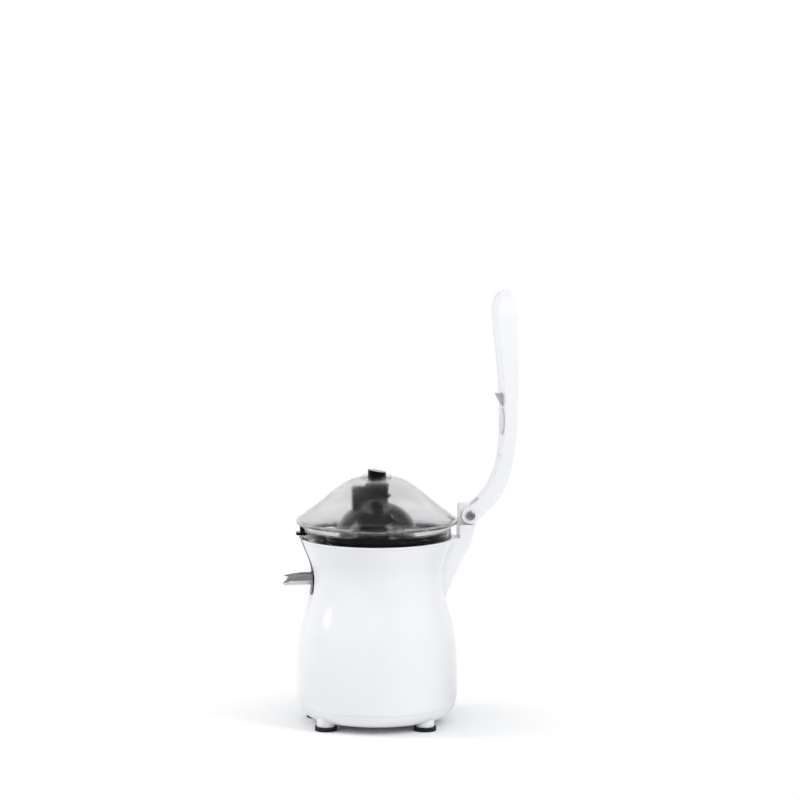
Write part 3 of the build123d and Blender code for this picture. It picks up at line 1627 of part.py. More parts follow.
with BuildPart() as press_stem:
    with BuildSketch(Plane.XZ):
        with BuildLine():
            Polyline(
                (0, neck_foot),
                (neck_outer, neck_foot),
                (neck_outer, collar_bottom - 2 * flange_thickness),
                (stem_flange_radius, collar_bottom - flange_thickness),
                (stem_flange_radius, collar_bottom),
                (neck_outer, collar_bottom + stem_taper),
                (stem_collar_radius, collar_top - stem_chamfer),
                (stem_collar_radius - stem_chamfer, collar_top),
                (stem_radius, collar_top),
                (stem_radius - stem_taper, stem_top),
                (0, stem_top),
                close=True,
            )
        make_face()
    revolve(axis=Axis.Z)
    # catch on the spout side, standing on the cap's crown
    with BuildSketch(Plane.YZ):
        with BuildLine():
            Polyline(
                (0, catch_top),
                (-catch_reach + catch_corner, catch_top),
                (-catch_reach, catch_top - catch_corner),
                (-catch_reach, catch_foot),
                (0, catch_foot),
                close=True,
            )
        make_face()
    extrude(amount=catch_width / 2, both=True)
    with BuildSketch(Plane.XZ):
        with BuildLine():
            cap_side(0)
            Polyline(
                (neck_outer, cap_crown),
                (neck_outer, neck_foot),
                (0, neck_foot),
                (0, cap_bottom),
                (cap_radius - cap_bead, cap_bottom),
                (cap_radius - cap_bead, cap_bottom + cap_bead),
            )
        make_face()
    revolve(axis=Axis.Z, mode=Mode.SUBTRACT)
    # bore that clears the reamer's spike
    with BuildSketch(Plane.XY.offset(neck_foot)):
        Circle(stem_bore)
    extrude(amount=dome_top + spike_height + spike_room - neck_foot, mode=Mode.SUBTRACT)
    # pressing face, higher on the spout side
    with BuildSketch(Plane.YZ):
        with BuildLine():
            Polyline(
                (stem_radius, stem_top - 2 * face_fall),
                (-stem_radius, stem_top),
                (-stem_radius, stem_top + face_fall),
                (stem_radius, stem_top + face_fall),
                close=True,
            )
        make_face()
    extrude(amount=stem_radius, both=True, mode=Mode.SUBTRACT)
press_stem.part.label = "press_stem"
export_step(press_stem.part, "parts/press_stem.step")


# ---- lid ----
lid_crown = lid_top - lid_collar_rise
lid_shoulder = lid_radius - lid_flange


def lid_side(inset):
    # the lid's swept side from its flange up to its collar, moved in by a wall
    Spline(
        (lid_shoulder - inset, lid_bottom + lid_edge - inset * 0.4),
        (lid_radius * 0.86 - inset * 0.65, lid_bottom + lid_height * 0.196 - inset * 0.76),
        (lid_radius * 0.717 - inset * 0.62, lid_bottom + lid_height * 0.39 - inset * 0.78),
        (lid_radius * 0.572 - inset * 0.62, lid_bottom + lid_height * 0.612 - inset * 0.78),
        (lid_radius * 0.457 - inset * 0.58, lid_bottom + lid_height * 0.766 - inset * 0.81),
        (lid_radius * 0.34 - inset * 0.4, lid_bottom + lid_height * 0.897 - inset * 0.92),
        (lid_collar_radius, lid_crown - inset),
        tangents=[(-0.6, 1), (-1, 0.1)],
    )


with BuildPart() as lid:
    with BuildSketch(Plane.XZ):
        with BuildLine():
            lid_side(0)
            Polyline(
                (lid_collar_radius, lid_crown),
                (lid_collar_radius, lid_top),
                (0, lid_top),
                (0, lid_bottom - lid_lip_depth),
                (lid_radius, lid_bottom - lid_lip_depth),
                (lid_radius, lid_bottom + lid_edge),
                (lid_shoulder, lid_bottom + lid_edge),
            )
        make_face()
    revolve(axis=Axis.Z)
    with BuildSketch(Plane.XZ):
        with BuildLine():
            lid_side(lid_wall)
            Polyline(
                (lid_collar_radius, lid_crown - lid_wall),
                (0, lid_crown - lid_wall),
                (0, lid_bottom),
                (lid_shoulder - lid_wall, lid_bottom),
                (lid_shoulder - lid_wall, lid_bottom + lid_edge - lid_wall * 0.4),
            )
        make_face()
    revolve(axis=Axis.Z, mode=Mode.SUBTRACT)
    with BuildSketch(Plane.XY.offset(lid_bottom - lid_lip_depth)):
        Circle(bowl_rim_radius + rim_lap_gap)
    extrude(amount=lid_lip_depth, mode=Mode.SUBTRACT)
    with BuildSketch(Plane.XY.offset(lid_bottom)):
        Circle(lid_hole_radius)
    extrude(amount=2 * lid_height, mode=Mode.SUBTRACT)
lid.part.label = "lid"
export_step(lid.part, "parts/lid.step")
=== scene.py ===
import math
import bmesh
import bpy
import numpy as np
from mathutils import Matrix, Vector


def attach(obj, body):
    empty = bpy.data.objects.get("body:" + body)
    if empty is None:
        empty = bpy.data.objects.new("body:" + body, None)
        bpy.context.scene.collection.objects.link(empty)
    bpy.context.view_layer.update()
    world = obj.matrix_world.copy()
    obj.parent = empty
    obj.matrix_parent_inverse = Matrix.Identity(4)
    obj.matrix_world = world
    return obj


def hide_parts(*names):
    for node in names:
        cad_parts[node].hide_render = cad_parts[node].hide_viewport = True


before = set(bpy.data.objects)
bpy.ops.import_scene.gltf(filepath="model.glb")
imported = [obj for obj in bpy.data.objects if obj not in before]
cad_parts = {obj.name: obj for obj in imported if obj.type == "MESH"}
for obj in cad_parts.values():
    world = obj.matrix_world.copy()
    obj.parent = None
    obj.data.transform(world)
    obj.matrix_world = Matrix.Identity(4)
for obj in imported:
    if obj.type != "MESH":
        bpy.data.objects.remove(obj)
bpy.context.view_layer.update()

# level studio camera in front of the press, a little above its middle
cameraLook = {
    "azimuth": 82.0,
    "elevation": 6.85,
    "distance": 4.21,
    "lens": 180.45,
    "sensor": 36.0,
    "aimRight": 0.0243,
    "aimHeight": 0.3437,
    "reach": 50.0,
}


def makeCamera(look):
    azimuth = math.radians(look["azimuth"])
    elevation = math.radians(look["elevation"])
    right = Vector((math.cos(azimuth), math.sin(azimuth), 0.0))
    aim = right * look["aimRight"] + Vector((0.0, 0.0, look["aimHeight"]))
    away = Vector((math.sin(azimuth) * math.cos(elevation), -math.cos(azimuth) * math.cos(elevation),
                   math.sin(elevation)))
    data = bpy.data.cameras.new("studioCamera")
    data.lens = look["lens"]
    data.sensor_width = look["sensor"]
    data.clip_end = look["reach"]
    camera = bpy.data.objects.new("studioCamera", data)
    camera.location = aim + away * look["distance"]
    camera.rotation_euler = (-away).to_track_quat("-Z", "Y").to_euler()
    bpy.context.scene.collection.objects.link(camera)
    bpy.context.scene.camera = camera


makeCamera(cameraLook)
bpy.context.scene.view_settings.view_transform = "Standard"
print("camera ready")


def plug(tree, socket, value):
    # a socket is linked, and anything else is set as the input's own value
    if isinstance(value, bpy.types.NodeSocket):
        tree.links.new(value, socket)
    else:
        socket.default_value = value


def mathNode(tree, operation, first, second=None):
    node = tree.nodes.new("ShaderNodeMath")
    node.operation = operation
    plug(tree, node.inputs[0], first)
    if second is not None:
        plug(tree, node.inputs[1], second)
    return node.outputs[0]


def mapNode(tree, value, fromSpan, toSpan):
    node = tree.nodes.new("ShaderNodeMapRange")
    plug(tree, node.inputs["Value"], value)
    node.inputs["From Min"].default_value, node.inputs["From Max"].default_value = fromSpan
    node.inputs["To Min"].default_value, node.inputs["To Max"].default_value = toSpan
    return node


class Graph:
    # a small wrapper that adds nodes to one material and links them
    def __init__(self, name):
        self.mat = bpy.data.materials.new(name)
        self.mat.use_nodes = True
        self.tree = self.mat.node_tree
        self.tree.nodes.clear()
        self.out = self.tree.nodes.new("ShaderNodeOutputMaterial")
        self.coord = self.tree.nodes.new("ShaderNodeTexCoord").outputs["Object"]

    def add(self, kind, **sockets):
        node = self.tree.nodes.new(kind)
        for key, value in sockets.items():
            plug(self.tree, node.inputs[key.replace("_", " ")], value)
        return node

    def vectorMath(self, operation, vector, result):
        node = self.tree.nodes.new("ShaderNodeVectorMath")
        node.operation = operation
        plug(self.tree, node.inputs[0], vector)
        return node.outputs[result]

    def stretched(self, scale):
        return self.add("ShaderNodeMapping", Vector=self.coord, Scale=scale).outputs["Vector"]

    def noise(self, scale, detail=3.0, rough=0.5, vector=None):
        place = self.coord if vector is None else vector
        node = self.add("ShaderNodeTexNoise", Vector=place, Scale=scale, Detail=detail, Roughness=rough)
        return node.outputs["Fac"]

    def span(self, fac, low, high, start=0.3, end=0.7):
        return mapNode(self.tree, fac, (start, end), (low, high)).outputs["Result"]

    def blend(self, fac, first, second):
        node = self.tree.nodes.new("ShaderNodeMix")
        node.data_type = "RGBA"
        # inputs 6 and 7 and output 2 are the mix node's colours
        for index, value in ((0, fac), (6, first), (7, second)):
            plug(self.tree, node.inputs[index], value)
        return node.outputs[2]

    def bump(self, height, strength, distance, normal=None):
        node = self.add("ShaderNodeBump", Strength=strength, Distance=distance, Height=height)
        if normal is not None:
            plug(self.tree, node.inputs["Normal"], normal)
        return node.outputs["Normal"]

    def shade(self, **sockets):
        node = self.add("ShaderNodeBsdfPrincipled", **sockets)
        self.tree.links.new(node.outputs["BSDF"], self.out.inputs["Surface"])
        return self.mat


def rgb(value):
    return (value[0], value[1], value[2], 1.0)


edgeLook = {"radius": 0.0006, "samples": 4}


def softEdges(g):
    # moulded pieces have no knife edges: their corners catch light over a small radius
    node = g.add("ShaderNodeBevel", Radius=edgeLook["radius"])
    node.samples = edgeLook["samples"]
    return node.outputs["Normal"]


# shade is the factor by which the painted shade in the seam's groove darkens the colour
seamLook = {"halfWidth": 0.00012, "reach": 0.0005, "shade": 0.86, "bump": 0.3, "depth": 0.0003}


def partingLineWithPaintedShade(g, seamHeight, colour, dark, normal):
    # a narrow groove at one height, where the mould's halves meet: it deepens as the height nears
    # the seam's, and the colour there is darkened as painted shade standing for the shadow in the groove
    split = g.add("ShaderNodeSeparateXYZ", Vector=g.coord)
    offset = mathNode(g.tree, "SUBTRACT", split.outputs["Z"], seamHeight)
    near = mathNode(g.tree, "ABSOLUTE", offset)
    groove = g.span(near, 0.0, 1.0, seamLook["halfWidth"], seamLook["reach"])
    # painted shade: the colour darkens across the groove to stand for the shadow inside it
    grooveShadePainted = g.blend(groove, rgb([seamLook["shade"] * v for v in dark]), colour)
    return grooveShadePainted, g.bump(groove, seamLook["bump"], seamLook["depth"], normal)


# scales are in waves to a metre, depths in metres
glossGrain = {
    "drift": 9.0,
    "polish": 38.0,
    "peel": 70.0,
    "peelDepth": 0.0004,
    "scuffs": 420.0,
    "scuffStretch": (1.0, 1.0, 0.12),
    "scuffBump": 0.012,
    "scuffDepth": 0.0001,
    "fine": 2600.0,
    "fineBump": 0.008,
    "fineDepth": 0.00005,
    "ior": 1.5,
}


def glossPlastic(name, light, dark, rough, peel, specular, seamHeight=None, edges=True):
    # moulded gloss plastic: faint tone drift, polish that varies, orange peel and fine scuffs
    g = Graph(name)
    grain = glossGrain
    drift = g.noise(grain["drift"], 2.0)
    scuffs = g.noise(grain["scuffs"], 2.0, 0.6, g.stretched(grain["scuffStretch"]))
    fine = g.noise(grain["fine"], 2.0)
    polish = g.span(g.noise(grain["polish"], 4.0), *rough)
    colour = g.blend(g.span(drift, 0.0, 1.0), rgb(light), rgb(dark))
    normal = softEdges(g) if edges else None
    if seamHeight is not None:
        colour, normal = partingLineWithPaintedShade(g, seamHeight, colour, dark, normal)
    normal = g.bump(g.noise(grain["peel"], 2.0), peel, grain["peelDepth"], normal)
    normal = g.bump(scuffs, grain["scuffBump"], grain["scuffDepth"], normal)
    normal = g.bump(fine, grain["fineBump"], grain["fineDepth"], normal)
    return g.shade(Base_Color=colour, Roughness=polish, Normal=normal, IOR=grain["ior"],
                   Specular_IOR_Level=specular)


clearGrain = {
    "flow": 16.0,
    "flowStretch": (1.0, 1.0, 2.6),
    "flowBump": 0.06,
    "flowDepth": 0.0006,
    "polish": 55.0,
    "haze": 900.0,
    "hazeDepth": 0.00005,
    "ior": 1.45,
}


def clearPlastic(name, tint, rough, haze, solid):
    # clear moulding with faint flow lines and a trace of handling haze
    g = Graph(name)
    grain = clearGrain
    flow = g.noise(grain["flow"], 3.0, 0.5, g.stretched(grain["flowStretch"]))
    polish = g.span(g.noise(grain["polish"], 4.0), *rough)
    normal = g.bump(flow, grain["flowBump"], grain["flowDepth"])
    normal = g.bump(g.noise(grain["haze"], 2.0), haze, grain["hazeDepth"], normal)
    return g.shade(Base_Color=rgb(tint), Roughness=polish, Normal=normal, IOR=grain["ior"],
                   Transmission_Weight=1.0, Alpha=solid)


metalGrain = {"lines": 260.0, "patch": 24.0, "smooth": 0.75, "worn": 1.3, "bump": 0.18, "depth": 0.00012}


def brushedMetal(name, light, dark, rough, stretch, anisotropy, metallic=1.0):
    # metal brushed along one way, with darker streaks and a fine grain
    g = Graph(name)
    grain = metalGrain
    lines = g.noise(grain["lines"], 6.0, 0.7, g.stretched(stretch))
    patch = g.noise(grain["patch"], 3.0)
    colour = g.blend(g.span(lines, 0.0, 1.0, 0.35, 0.65), rgb(dark), rgb(light))
    roughness = g.span(patch, rough * grain["smooth"], rough * grain["worn"])
    return g.shade(Base_Color=colour, Metallic=metallic, Roughness=roughness, Anisotropic=anisotropy,
                   Normal=g.bump(lines, grain["bump"], grain["depth"]))


satinGrain = {"drift": 14.0, "smooth": 0.8, "worn": 1.15, "depth": 0.00015}


def satinPlastic(name, light, dark, rough, grain, depth, specular=0.5):
    # satin moulding with a spark-eroded grain
    g = Graph(name)
    mottled = g.noise(grain, 4.0, 0.6)
    drift = g.noise(satinGrain["drift"], 2.0)
    colour = g.blend(g.span(drift, 0.0, 1.0), rgb(dark), rgb(light))
    roughness = g.span(mottled, rough * satinGrain["smooth"], rough * satinGrain["worn"])
    return g.shade(Base_Color=colour, Roughness=roughness, Specular_IOR_Level=specular,
                   Normal=g.bump(mottled, depth, satinGrain["depth"], softEdges(g)))


def layered(name, light, dark, pitch, rough, metallic):
    # stacked sheets or wound wire: fine bands along the height
    g = Graph(name)
    wave = g.add("ShaderNodeTexWave", Vector=g.coord, Scale=pitch, Distortion=0.6, Detail=2.0)
    wave.bands_direction = "Z"
    bands = wave.outputs["Fac"]
    return g.shade(Base_Color=g.blend(bands, rgb(dark), rgb(light)), Metallic=metallic, Roughness=rough,
                   Normal=g.bump(bands, 0.5, 0.0003))


def matteRubber(name, clean, dusty, pores, dust, rough, specular):
    # matte rubber, dusty in its pores
    g = Graph(name)
    pits = g.noise(pores, 5.0, 0.65)
    patches = g.noise(dust, 4.0)
    colour = g.blend(g.span(patches, 0.0, 1.0, 0.45, 0.75), rgb(clean), rgb(dusty))
    return g.shade(Base_Color=colour, Roughness=g.span(pits, *rough), Specular_IOR_Level=specular,
                   Normal=g.bump(pits, 0.35, 0.0003))


glossLooks = {
    "whiteShell": {"light": (0.80, 0.803, 0.812), "dark": (0.775, 0.78, 0.792), "rough": (0.12, 0.2),
                   "peel": 0.05, "specular": 0.5, "seamHeight": 0.0215},
    "whiteGloss": {"light": (0.80, 0.803, 0.812), "dark": (0.775, 0.78, 0.792), "rough": (0.16, 0.26),
                   "peel": 0.05, "specular": 0.5, "edges": False},
    "socketWhite": {"light": (0.64, 0.645, 0.655), "dark": (0.58, 0.585, 0.6), "rough": (0.2, 0.3),
                    "peel": 0.05, "specular": 0.5},
    "paleGrey": {"light": (0.5, 0.505, 0.515), "dark": (0.44, 0.445, 0.455), "rough": (0.25, 0.36),
                 "peel": 0.05, "specular": 0.4},
    "blackGloss": {"light": (0.0022, 0.0022, 0.0026), "dark": (0.004, 0.004, 0.0046), "rough": (0.1, 0.2),
                   "peel": 0.05, "specular": 0.42},
    "blackFluted": {"light": (0.0022, 0.0022, 0.0026), "dark": (0.004, 0.004, 0.0046),
                    "rough": (0.18, 0.25), "peel": 0.03, "specular": 0.6, "edges": False},
    "blackSatin": {"light": (0.003, 0.003, 0.0034), "dark": (0.006, 0.006, 0.0066), "rough": (0.24, 0.34),
                   "peel": 0.05, "specular": 0.36},
}
clearLooks = {
    "clearBowl": {"tint": (0.95, 0.95, 0.975), "rough": (0.01, 0.04), "haze": 0.02, "solid": 0.8},
    "clearLid": {"tint": (0.985, 0.986, 0.992), "rough": (0.1, 0.13), "haze": 0.02, "solid": 0.9},
}
satinLooks = {
    "greyShaft": {"light": (0.022, 0.0225, 0.024), "dark": (0.014, 0.0145, 0.016), "rough": 0.34,
                  "grain": 900.0, "depth": 0.12, "specular": 0.3},
    "greyPlastic": {"light": (0.16, 0.16, 0.165), "dark": (0.12, 0.12, 0.125), "rough": 0.5,
                    "grain": 1100.0, "depth": 0.25},
    "nylon": {"light": (0.78, 0.75, 0.66), "dark": (0.72, 0.69, 0.6), "rough": 0.42, "grain": 600.0,
              "depth": 0.1},
}
metalLooks = {
    "steel": {"light": (0.82, 0.82, 0.82), "dark": (0.62, 0.62, 0.625), "rough": 0.3,
              "stretch": (1.0, 0.04, 1.0), "anisotropy": 0.3, "metallic": 0.8},
    "darkSteel": {"light": (0.7, 0.69, 0.68), "dark": (0.3, 0.295, 0.29), "rough": 0.3,
                  "stretch": (1.0, 0.3, 0.3), "anisotropy": 0.2, "metallic": 0.75},
    "zinc": {"light": (0.66, 0.67, 0.69), "dark": (0.5, 0.51, 0.53), "rough": 0.38,
             "stretch": (0.6, 0.6, 0.6), "anisotropy": 0.0},
    "bronze": {"light": (0.56, 0.4, 0.2), "dark": (0.42, 0.29, 0.13), "rough": 0.36,
               "stretch": (0.4, 0.4, 1.0), "anisotropy": 0.0},
}
layeredLooks = {
    "copper": {"light": (0.62, 0.27, 0.12), "dark": (0.3, 0.11, 0.045), "pitch": 260.0, "rough": 0.3,
               "metallic": 0.85},
    "lamination": {"light": (0.3, 0.31, 0.33), "dark": (0.12, 0.12, 0.13), "pitch": 420.0, "rough": 0.45,
                   "metallic": 0.8},
}
rubberLooks = {
    "rubber": {"clean": (0.012, 0.012, 0.013), "dusty": (0.03, 0.03, 0.03), "pores": 700.0, "dust": 60.0,
               "rough": (0.62, 0.85), "specular": 0.25},
}
families = (
    (glossPlastic, glossLooks),
    (clearPlastic, clearLooks),
    (satinPlastic, satinLooks),
    (brushedMetal, metalLooks),
    (layered, layeredLooks),
    (matteRubber, rubberLooks),
)
materials = {name: make(name, **look) for make, looks in families for name, look in looks.items()}

nodeLooks = {
    "whiteShell": ["housing"],
    "whiteGloss": ["deck", "base_plate", "lever", "lever_cover"],
    "socketWhite": ["press_socket"],
    "paleGrey": ["cap_latch"],
    "blackGloss": ["strainer", "reamer", "press_cap", "press_stem", "switch_button"],
    "blackSatin": ["drive_sleeve", "spout_holder", "spout_pin"],
    "clearBowl": ["juice_bowl"],
    "clearLid": ["lid"],
    "greyShaft": ["drive_shaft"],
    "greyPlastic": ["gearbox_cover", "cooling_fan", "microswitch"],
    "nylon": ["idler_gear", "output_gear", "hinge_bushes", "thrust_ring"],
    "steel": ["spout_trough", "idler_axle", "motor_pinion"],
    "darkSteel": ["hinge_bolt", "hinge_nut"],
    "zinc": ["base_screws", "gearbox_plate", "gearbox_screws", "motor_frames", "motor_bolts"],
    "bronze": ["shaft_bush"],
    "copper": ["motor_windings"],
    "lamination": ["motor_stator", "rotor"],
    "rubber": ["foot_pads", "cord_gland", "shaft_seal"],
}


def dress(looks):
    for look, names in looks.items():
        for name in names:
            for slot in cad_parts[name].material_slots:
                slot.material = materials[look]


dress(nodeLooks)
print("materials ready")


def meshFrom(name, points, corners, sizes):
    # a mesh from whole arrays: points, the vertex of each face's corner in turn, and the number of
    # corners of each face
    mesh = bpy.data.meshes.new(name)
    mesh.vertices.add(len(points))
    mesh.vertices.foreach_set("co", points.astype(np.float32).ravel())
    mesh.loops.add(len(corners))
    mesh.loops.foreach_set("vertex_index", corners.astype(np.int32))
    mesh.polygons.add(len(sizes))
    mesh.polygons.foreach_set("loop_start", (np.cumsum(sizes) - sizes).astype(np.int32))
    mesh.update(calc_edges=True)
    mesh.validate()
    return mesh


def addPiece(name, mesh, look, body):
    # a smooth piece that rides on a body
    mesh.shade_smooth()
    mesh.materials.append(materials[look])
    piece = bpy.data.objects.new(name, mesh)
    bpy.context.scene.collection.objects.link(piece)
    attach(piece, body)
    return piece


def turnedGrid(rows, columns):
    # faces of a surface of rings: quads between neighbours, and a fan at each closed pole; the first
    # point is the upper pole, the last one the lower pole, and the rings lie between, row by row
    row, column = np.meshgrid(np.arange(rows - 1), np.arange(columns), indexing="ij")
    here = 1 + row * columns + column
    beside = 1 + row * columns + (column + 1) % columns
    quads = np.stack([here, here + columns, beside + columns, beside], axis=-1).reshape(-1, 4)
    step = np.arange(columns)
    following = (step + 1) % columns
    lastRing = 1 + (rows - 1) * columns
    first = np.stack([np.zeros_like(step), 1 + step, 1 + following], axis=-1)
    final = np.stack([np.full_like(step, lastRing + columns), lastRing + following, lastRing + step], axis=-1)
    corners = np.concatenate([first.ravel(), quads.ravel(), final.ravel()])
    sizes = np.concatenate([np.full(columns, 3), np.full(len(quads), 4), np.full(columns, 3)])
    return corners, sizes


# lengths in millimetres above the base, which is in metres, and angles in degrees
reamerLook = {
    "base": 0.1822,
    "columns": 720,
    "gather": 0.72,
    "finCount": 4,
    "firstFin": -8.0,
    "finHeight": 5.0,
    "finHalf": 1.15,
    "finRoot": 7.0,
    "finRootShare": 0.42,
    "ribHeight": 3.0,
    "ribHalf": 0.9,
    "ribRoot": 3.6,
    "ribRootShare": 0.35,
    "ribEnd": 33.0,
    "ribFade": 5.0,
    "fluteDepth": 1.9,
    "fluteStart": 14.0,
    "fluteFade": 8.0,
    "crownRadius": 9.0,
    "crownFade": 2.5,
    "brimHeight": 1.2,
    "brimFade": 4.0,
    "brimRadius": 54.0,
    "nearAxis": 4.0,
    "tip": 59.0,
    "socket": 11.15,
    "socketSides": 8,
    "socketFoot": 27.8,
    "socketRoof": 39.6,
    "pathSteps": 4,
    "outer": [(1.0, 58.9), (1.35, 58.4), (1.7, 54.0), (2.1, 49.0), (2.7, 45.6), (4.2, 44.6), (6.5, 44.4),
              (9.0, 44.6), (11.2, 44.5), (13.0, 44.1), (16.0, 43.0), (20.0, 40.6), (24.0, 37.3), (27.5, 33.3),
              (30.2, 29.0), (32.2, 24.0), (33.5, 18.5), (34.1, 13.0), (34.3, 8.5), (34.6, 5.6), (35.8, 4.2),
              (38.5, 3.2), (42.0, 2.5), (46.0, 1.8), (50.0, 1.1), (53.5, 0.45), (55.2, 0.0)],
    "under": [(55.4, -0.3), (55.2, -0.6), (52.0, -1.3), (47.5, -2.7), (43.0, -4.0), (40.0, -4.0),
              (33.0, -4.0), (32.0, -3.6), (31.8, 2.0), (31.5, 9.0), (31.0, 17.0), (29.5, 24.0), (26.0, 31.0),
              (22.6, 34.8), (22.1, 34.6), (22.1, 20.0), (22.1, -3.6), (21.7, -4.0), (19.9, -4.0),
              (19.5, -3.6), (19.5, 27.4), (19.1, 27.8), (14.0, 27.8)],
}


def smoothPath(points, steps):
    # Catmull-Rom through the profile's points, each span cut into equal steps: a cubic in the share
    # along the span, fixed by the span's two ends and one neighbour beyond each
    p = np.array(points, dtype=float)
    p = np.vstack([2 * p[0] - p[1], p, 2 * p[-1] - p[-2]])
    t = np.linspace(0.0, 1.0, steps, endpoint=False)[None, :, None]
    a, b, c, d = (p[k:len(p) - 3 + k, None, :] for k in range(4))
    path = 0.5 * (2 * b + (c - a) * t + (2 * a - 5 * b + 4 * c - d) * t ** 2
                  + (3 * b - a - 3 * c + d) * t ** 3)
    return np.vstack([path.reshape(-1, 2), p[-2]])


def reamerLift(look, radius, height, angle):
    # how far each point of the dome moves out: the taller of the fins (a flat-topped bell across each
    # fin, over a wider one at its root) and the short ribs between them, less a shallow flute, all
    # faded out at the crown and at the brim
    spacing = 2 * np.pi / look["finCount"]
    toFin = (angle + spacing / 2) % spacing - spacing / 2
    toRib = angle % spacing - spacing / 2
    reach = np.maximum(radius, look["nearAxis"])
    finDistance = np.abs(toFin) * reach
    ribDistance = np.abs(toRib) * reach
    fin = np.exp(-(finDistance / look["finHalf"]) ** 4)
    fin = fin + look["finRootShare"] * np.exp(-(finDistance / look["finRoot"]) ** 2)
    rib = np.exp(-(ribDistance / look["ribHalf"]) ** 4)
    rib = rib + look["ribRootShare"] * np.exp(-(ribDistance / look["ribRoot"]) ** 2)
    ribFade = np.clip((look["ribEnd"] - height) / look["ribFade"], 0, 1)
    rib = rib * ribFade * ribFade * (3 - 2 * ribFade)
    raised = np.maximum(look["finHeight"] * np.minimum(fin, 1.0), look["ribHeight"] * np.minimum(rib, 1.0))
    hollow = 1 - np.cos(look["finCount"] * angle) ** 2
    flute = look["fluteDepth"] * hollow * np.clip((radius - look["fluteStart"]) / look["fluteFade"], 0, 1)
    onDome = np.clip((radius - look["crownRadius"]) / look["crownFade"], 0, 1)
    onDome = onDome * np.clip((height - look["brimHeight"]) / look["brimFade"], 0, 1)
    onDome = onDome * (height > 0) * (radius < look["brimRadius"])
    return (raised - flute) * onDome


def makeReamer(look):
    # radius and height follow the turned profile round the axis; over the dome each point moves out
    # along the profile's normal by reamerLift; under it lie the plain inner profile and a socket with
    # flat sides, whose radius is the flat's distance over the cosine of the angle from its middle
    columns = look["columns"]
    start = math.radians(look["firstFin"])
    crests = 2 * look["finCount"]
    even = np.linspace(0.0, 2 * np.pi, columns, endpoint=False)[None, :]
    angle = even - look["gather"] / crests * np.sin(crests * (even - start))  # columns gather at the fins
    outer = smoothPath(look["outer"], look["pathSteps"])
    along = np.gradient(outer, axis=0)
    along = along / np.hypot(along[:, 0], along[:, 1])[:, None]
    radius, height = outer[:, :1], outer[:, 1:]
    lift = reamerLift(look, radius, height, angle - start)
    outerR = radius - along[:, 1:] * lift
    outerZ = height + along[:, :1] * lift
    under = np.array(look["under"])
    underR = np.repeat(under[:, :1], columns, axis=1)
    underZ = np.repeat(under[:, 1:], columns, axis=1)
    side = 2 * np.pi / look["socketSides"]
    socketR = look["socket"] * math.cos(side / 2) / np.cos((angle % side) - side / 2)
    footZ = np.full_like(socketR, look["socketFoot"])
    roofZ = np.full_like(socketR, look["socketRoof"])
    allR = np.vstack([outerR, underR, socketR, socketR]) * 0.001
    allZ = np.vstack([outerZ, underZ, footZ, roofZ]) * 0.001 + look["base"]
    rings = np.stack([allR * np.cos(angle), allR * np.sin(angle), allZ], axis=-1).reshape(-1, 3)
    top = [[0.0, 0.0, look["tip"] * 0.001 + look["base"]]]
    roof = [[0.0, 0.0, look["socketRoof"] * 0.001 + look["base"]]]
    points = np.vstack([top, rings, roof])
    mesh = meshFrom("reamerFluted", points, *turnedGrid(allR.shape[0], columns))
    piece = addPiece("reamerFluted", mesh, "blackFluted", "reamer")
    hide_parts("reamer")


makeReamer(reamerLook)
print("reamer ready")

coverLook = {"tuck": 0.00015, "merge": 1e-6, "sharp": 30.0}


def readAll(items, field, width, kind):
    values = np.empty(len(items) * width, dtype=kind)
    items.foreach_get(field, values)
    return values


def cornerNormals(points, triangles):
    # each point's normal is the sum of its triangles' normals, each weighted by the triangle's angle
    # at that point, brought to length one
    corner = points[triangles]
    ahead = np.roll(corner, -1, axis=1) - corner
    behind = np.roll(corner, 1, axis=1) - corner
    across = np.cross(ahead, behind)
    angle = np.arctan2(np.linalg.norm(across, axis=2), (ahead * behind).sum(axis=2))
    facing = across[:, 0] / np.linalg.norm(across[:, 0], axis=1)[:, None]
    total = np.zeros_like(points)
    np.add.at(total, triangles.ravel(), (facing[:, None] * angle[:, :, None]).reshape(-1, 3))
    return total / np.linalg.norm(total, axis=1)[:, None]


def makeCover(look):
    # the lever's inner cover: every point of its shell moves in against its normal by a hair, so
    # that its edge shows as a fine joint against the arm
    shell = bmesh.new()
    shell.from_mesh(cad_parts["lever_cover"].data)
    bmesh.ops.remove_doubles(shell, verts=shell.verts, dist=look["merge"])
    merged = bpy.data.meshes.new("coverMerged")
    shell.to_mesh(merged)
    shell.free()
    points = readAll(merged.vertices, "co", 3, np.float32).astype(float).reshape(-1, 3)
    triangles = readAll(merged.loops, "vertex_index", 1, np.int32).reshape(-1, 3)
    bpy.data.meshes.remove(merged)
    points = points - look["tuck"] * cornerNormals(points, triangles)
    mesh = meshFrom("leverCoverTucked", points, triangles.ravel(), np.full(len(triangles), 3))
    piece = addPiece("leverCoverTucked", mesh, "whiteGloss", "lever")
    mesh.set_sharp_from_angle(angle=math.radians(look["sharp"]))
    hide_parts("lever_cover")


makeCover(coverLook)
print("cover ready")

# what mirrors see runs from white at sweepEnd to the dimmer room at roomStart, both measured as the
# forward part of the ray's direction
stageLook = {
    "floorRadius": 6.0,
    "floorSteps": 96,
    "floorTone": 0.93,
    "floorWorn": 0.985,
    "floorGrain": 5.0,
    "fadeStart": 0.08,
    "fadeEnd": 0.2,
    "fill": 0.67,
    "fillTint": (0.95, 0.97, 1.0),
    "frontRoom": 0.12,
    "sweepEnd": -0.8,
    "roomStart": -0.1,
}


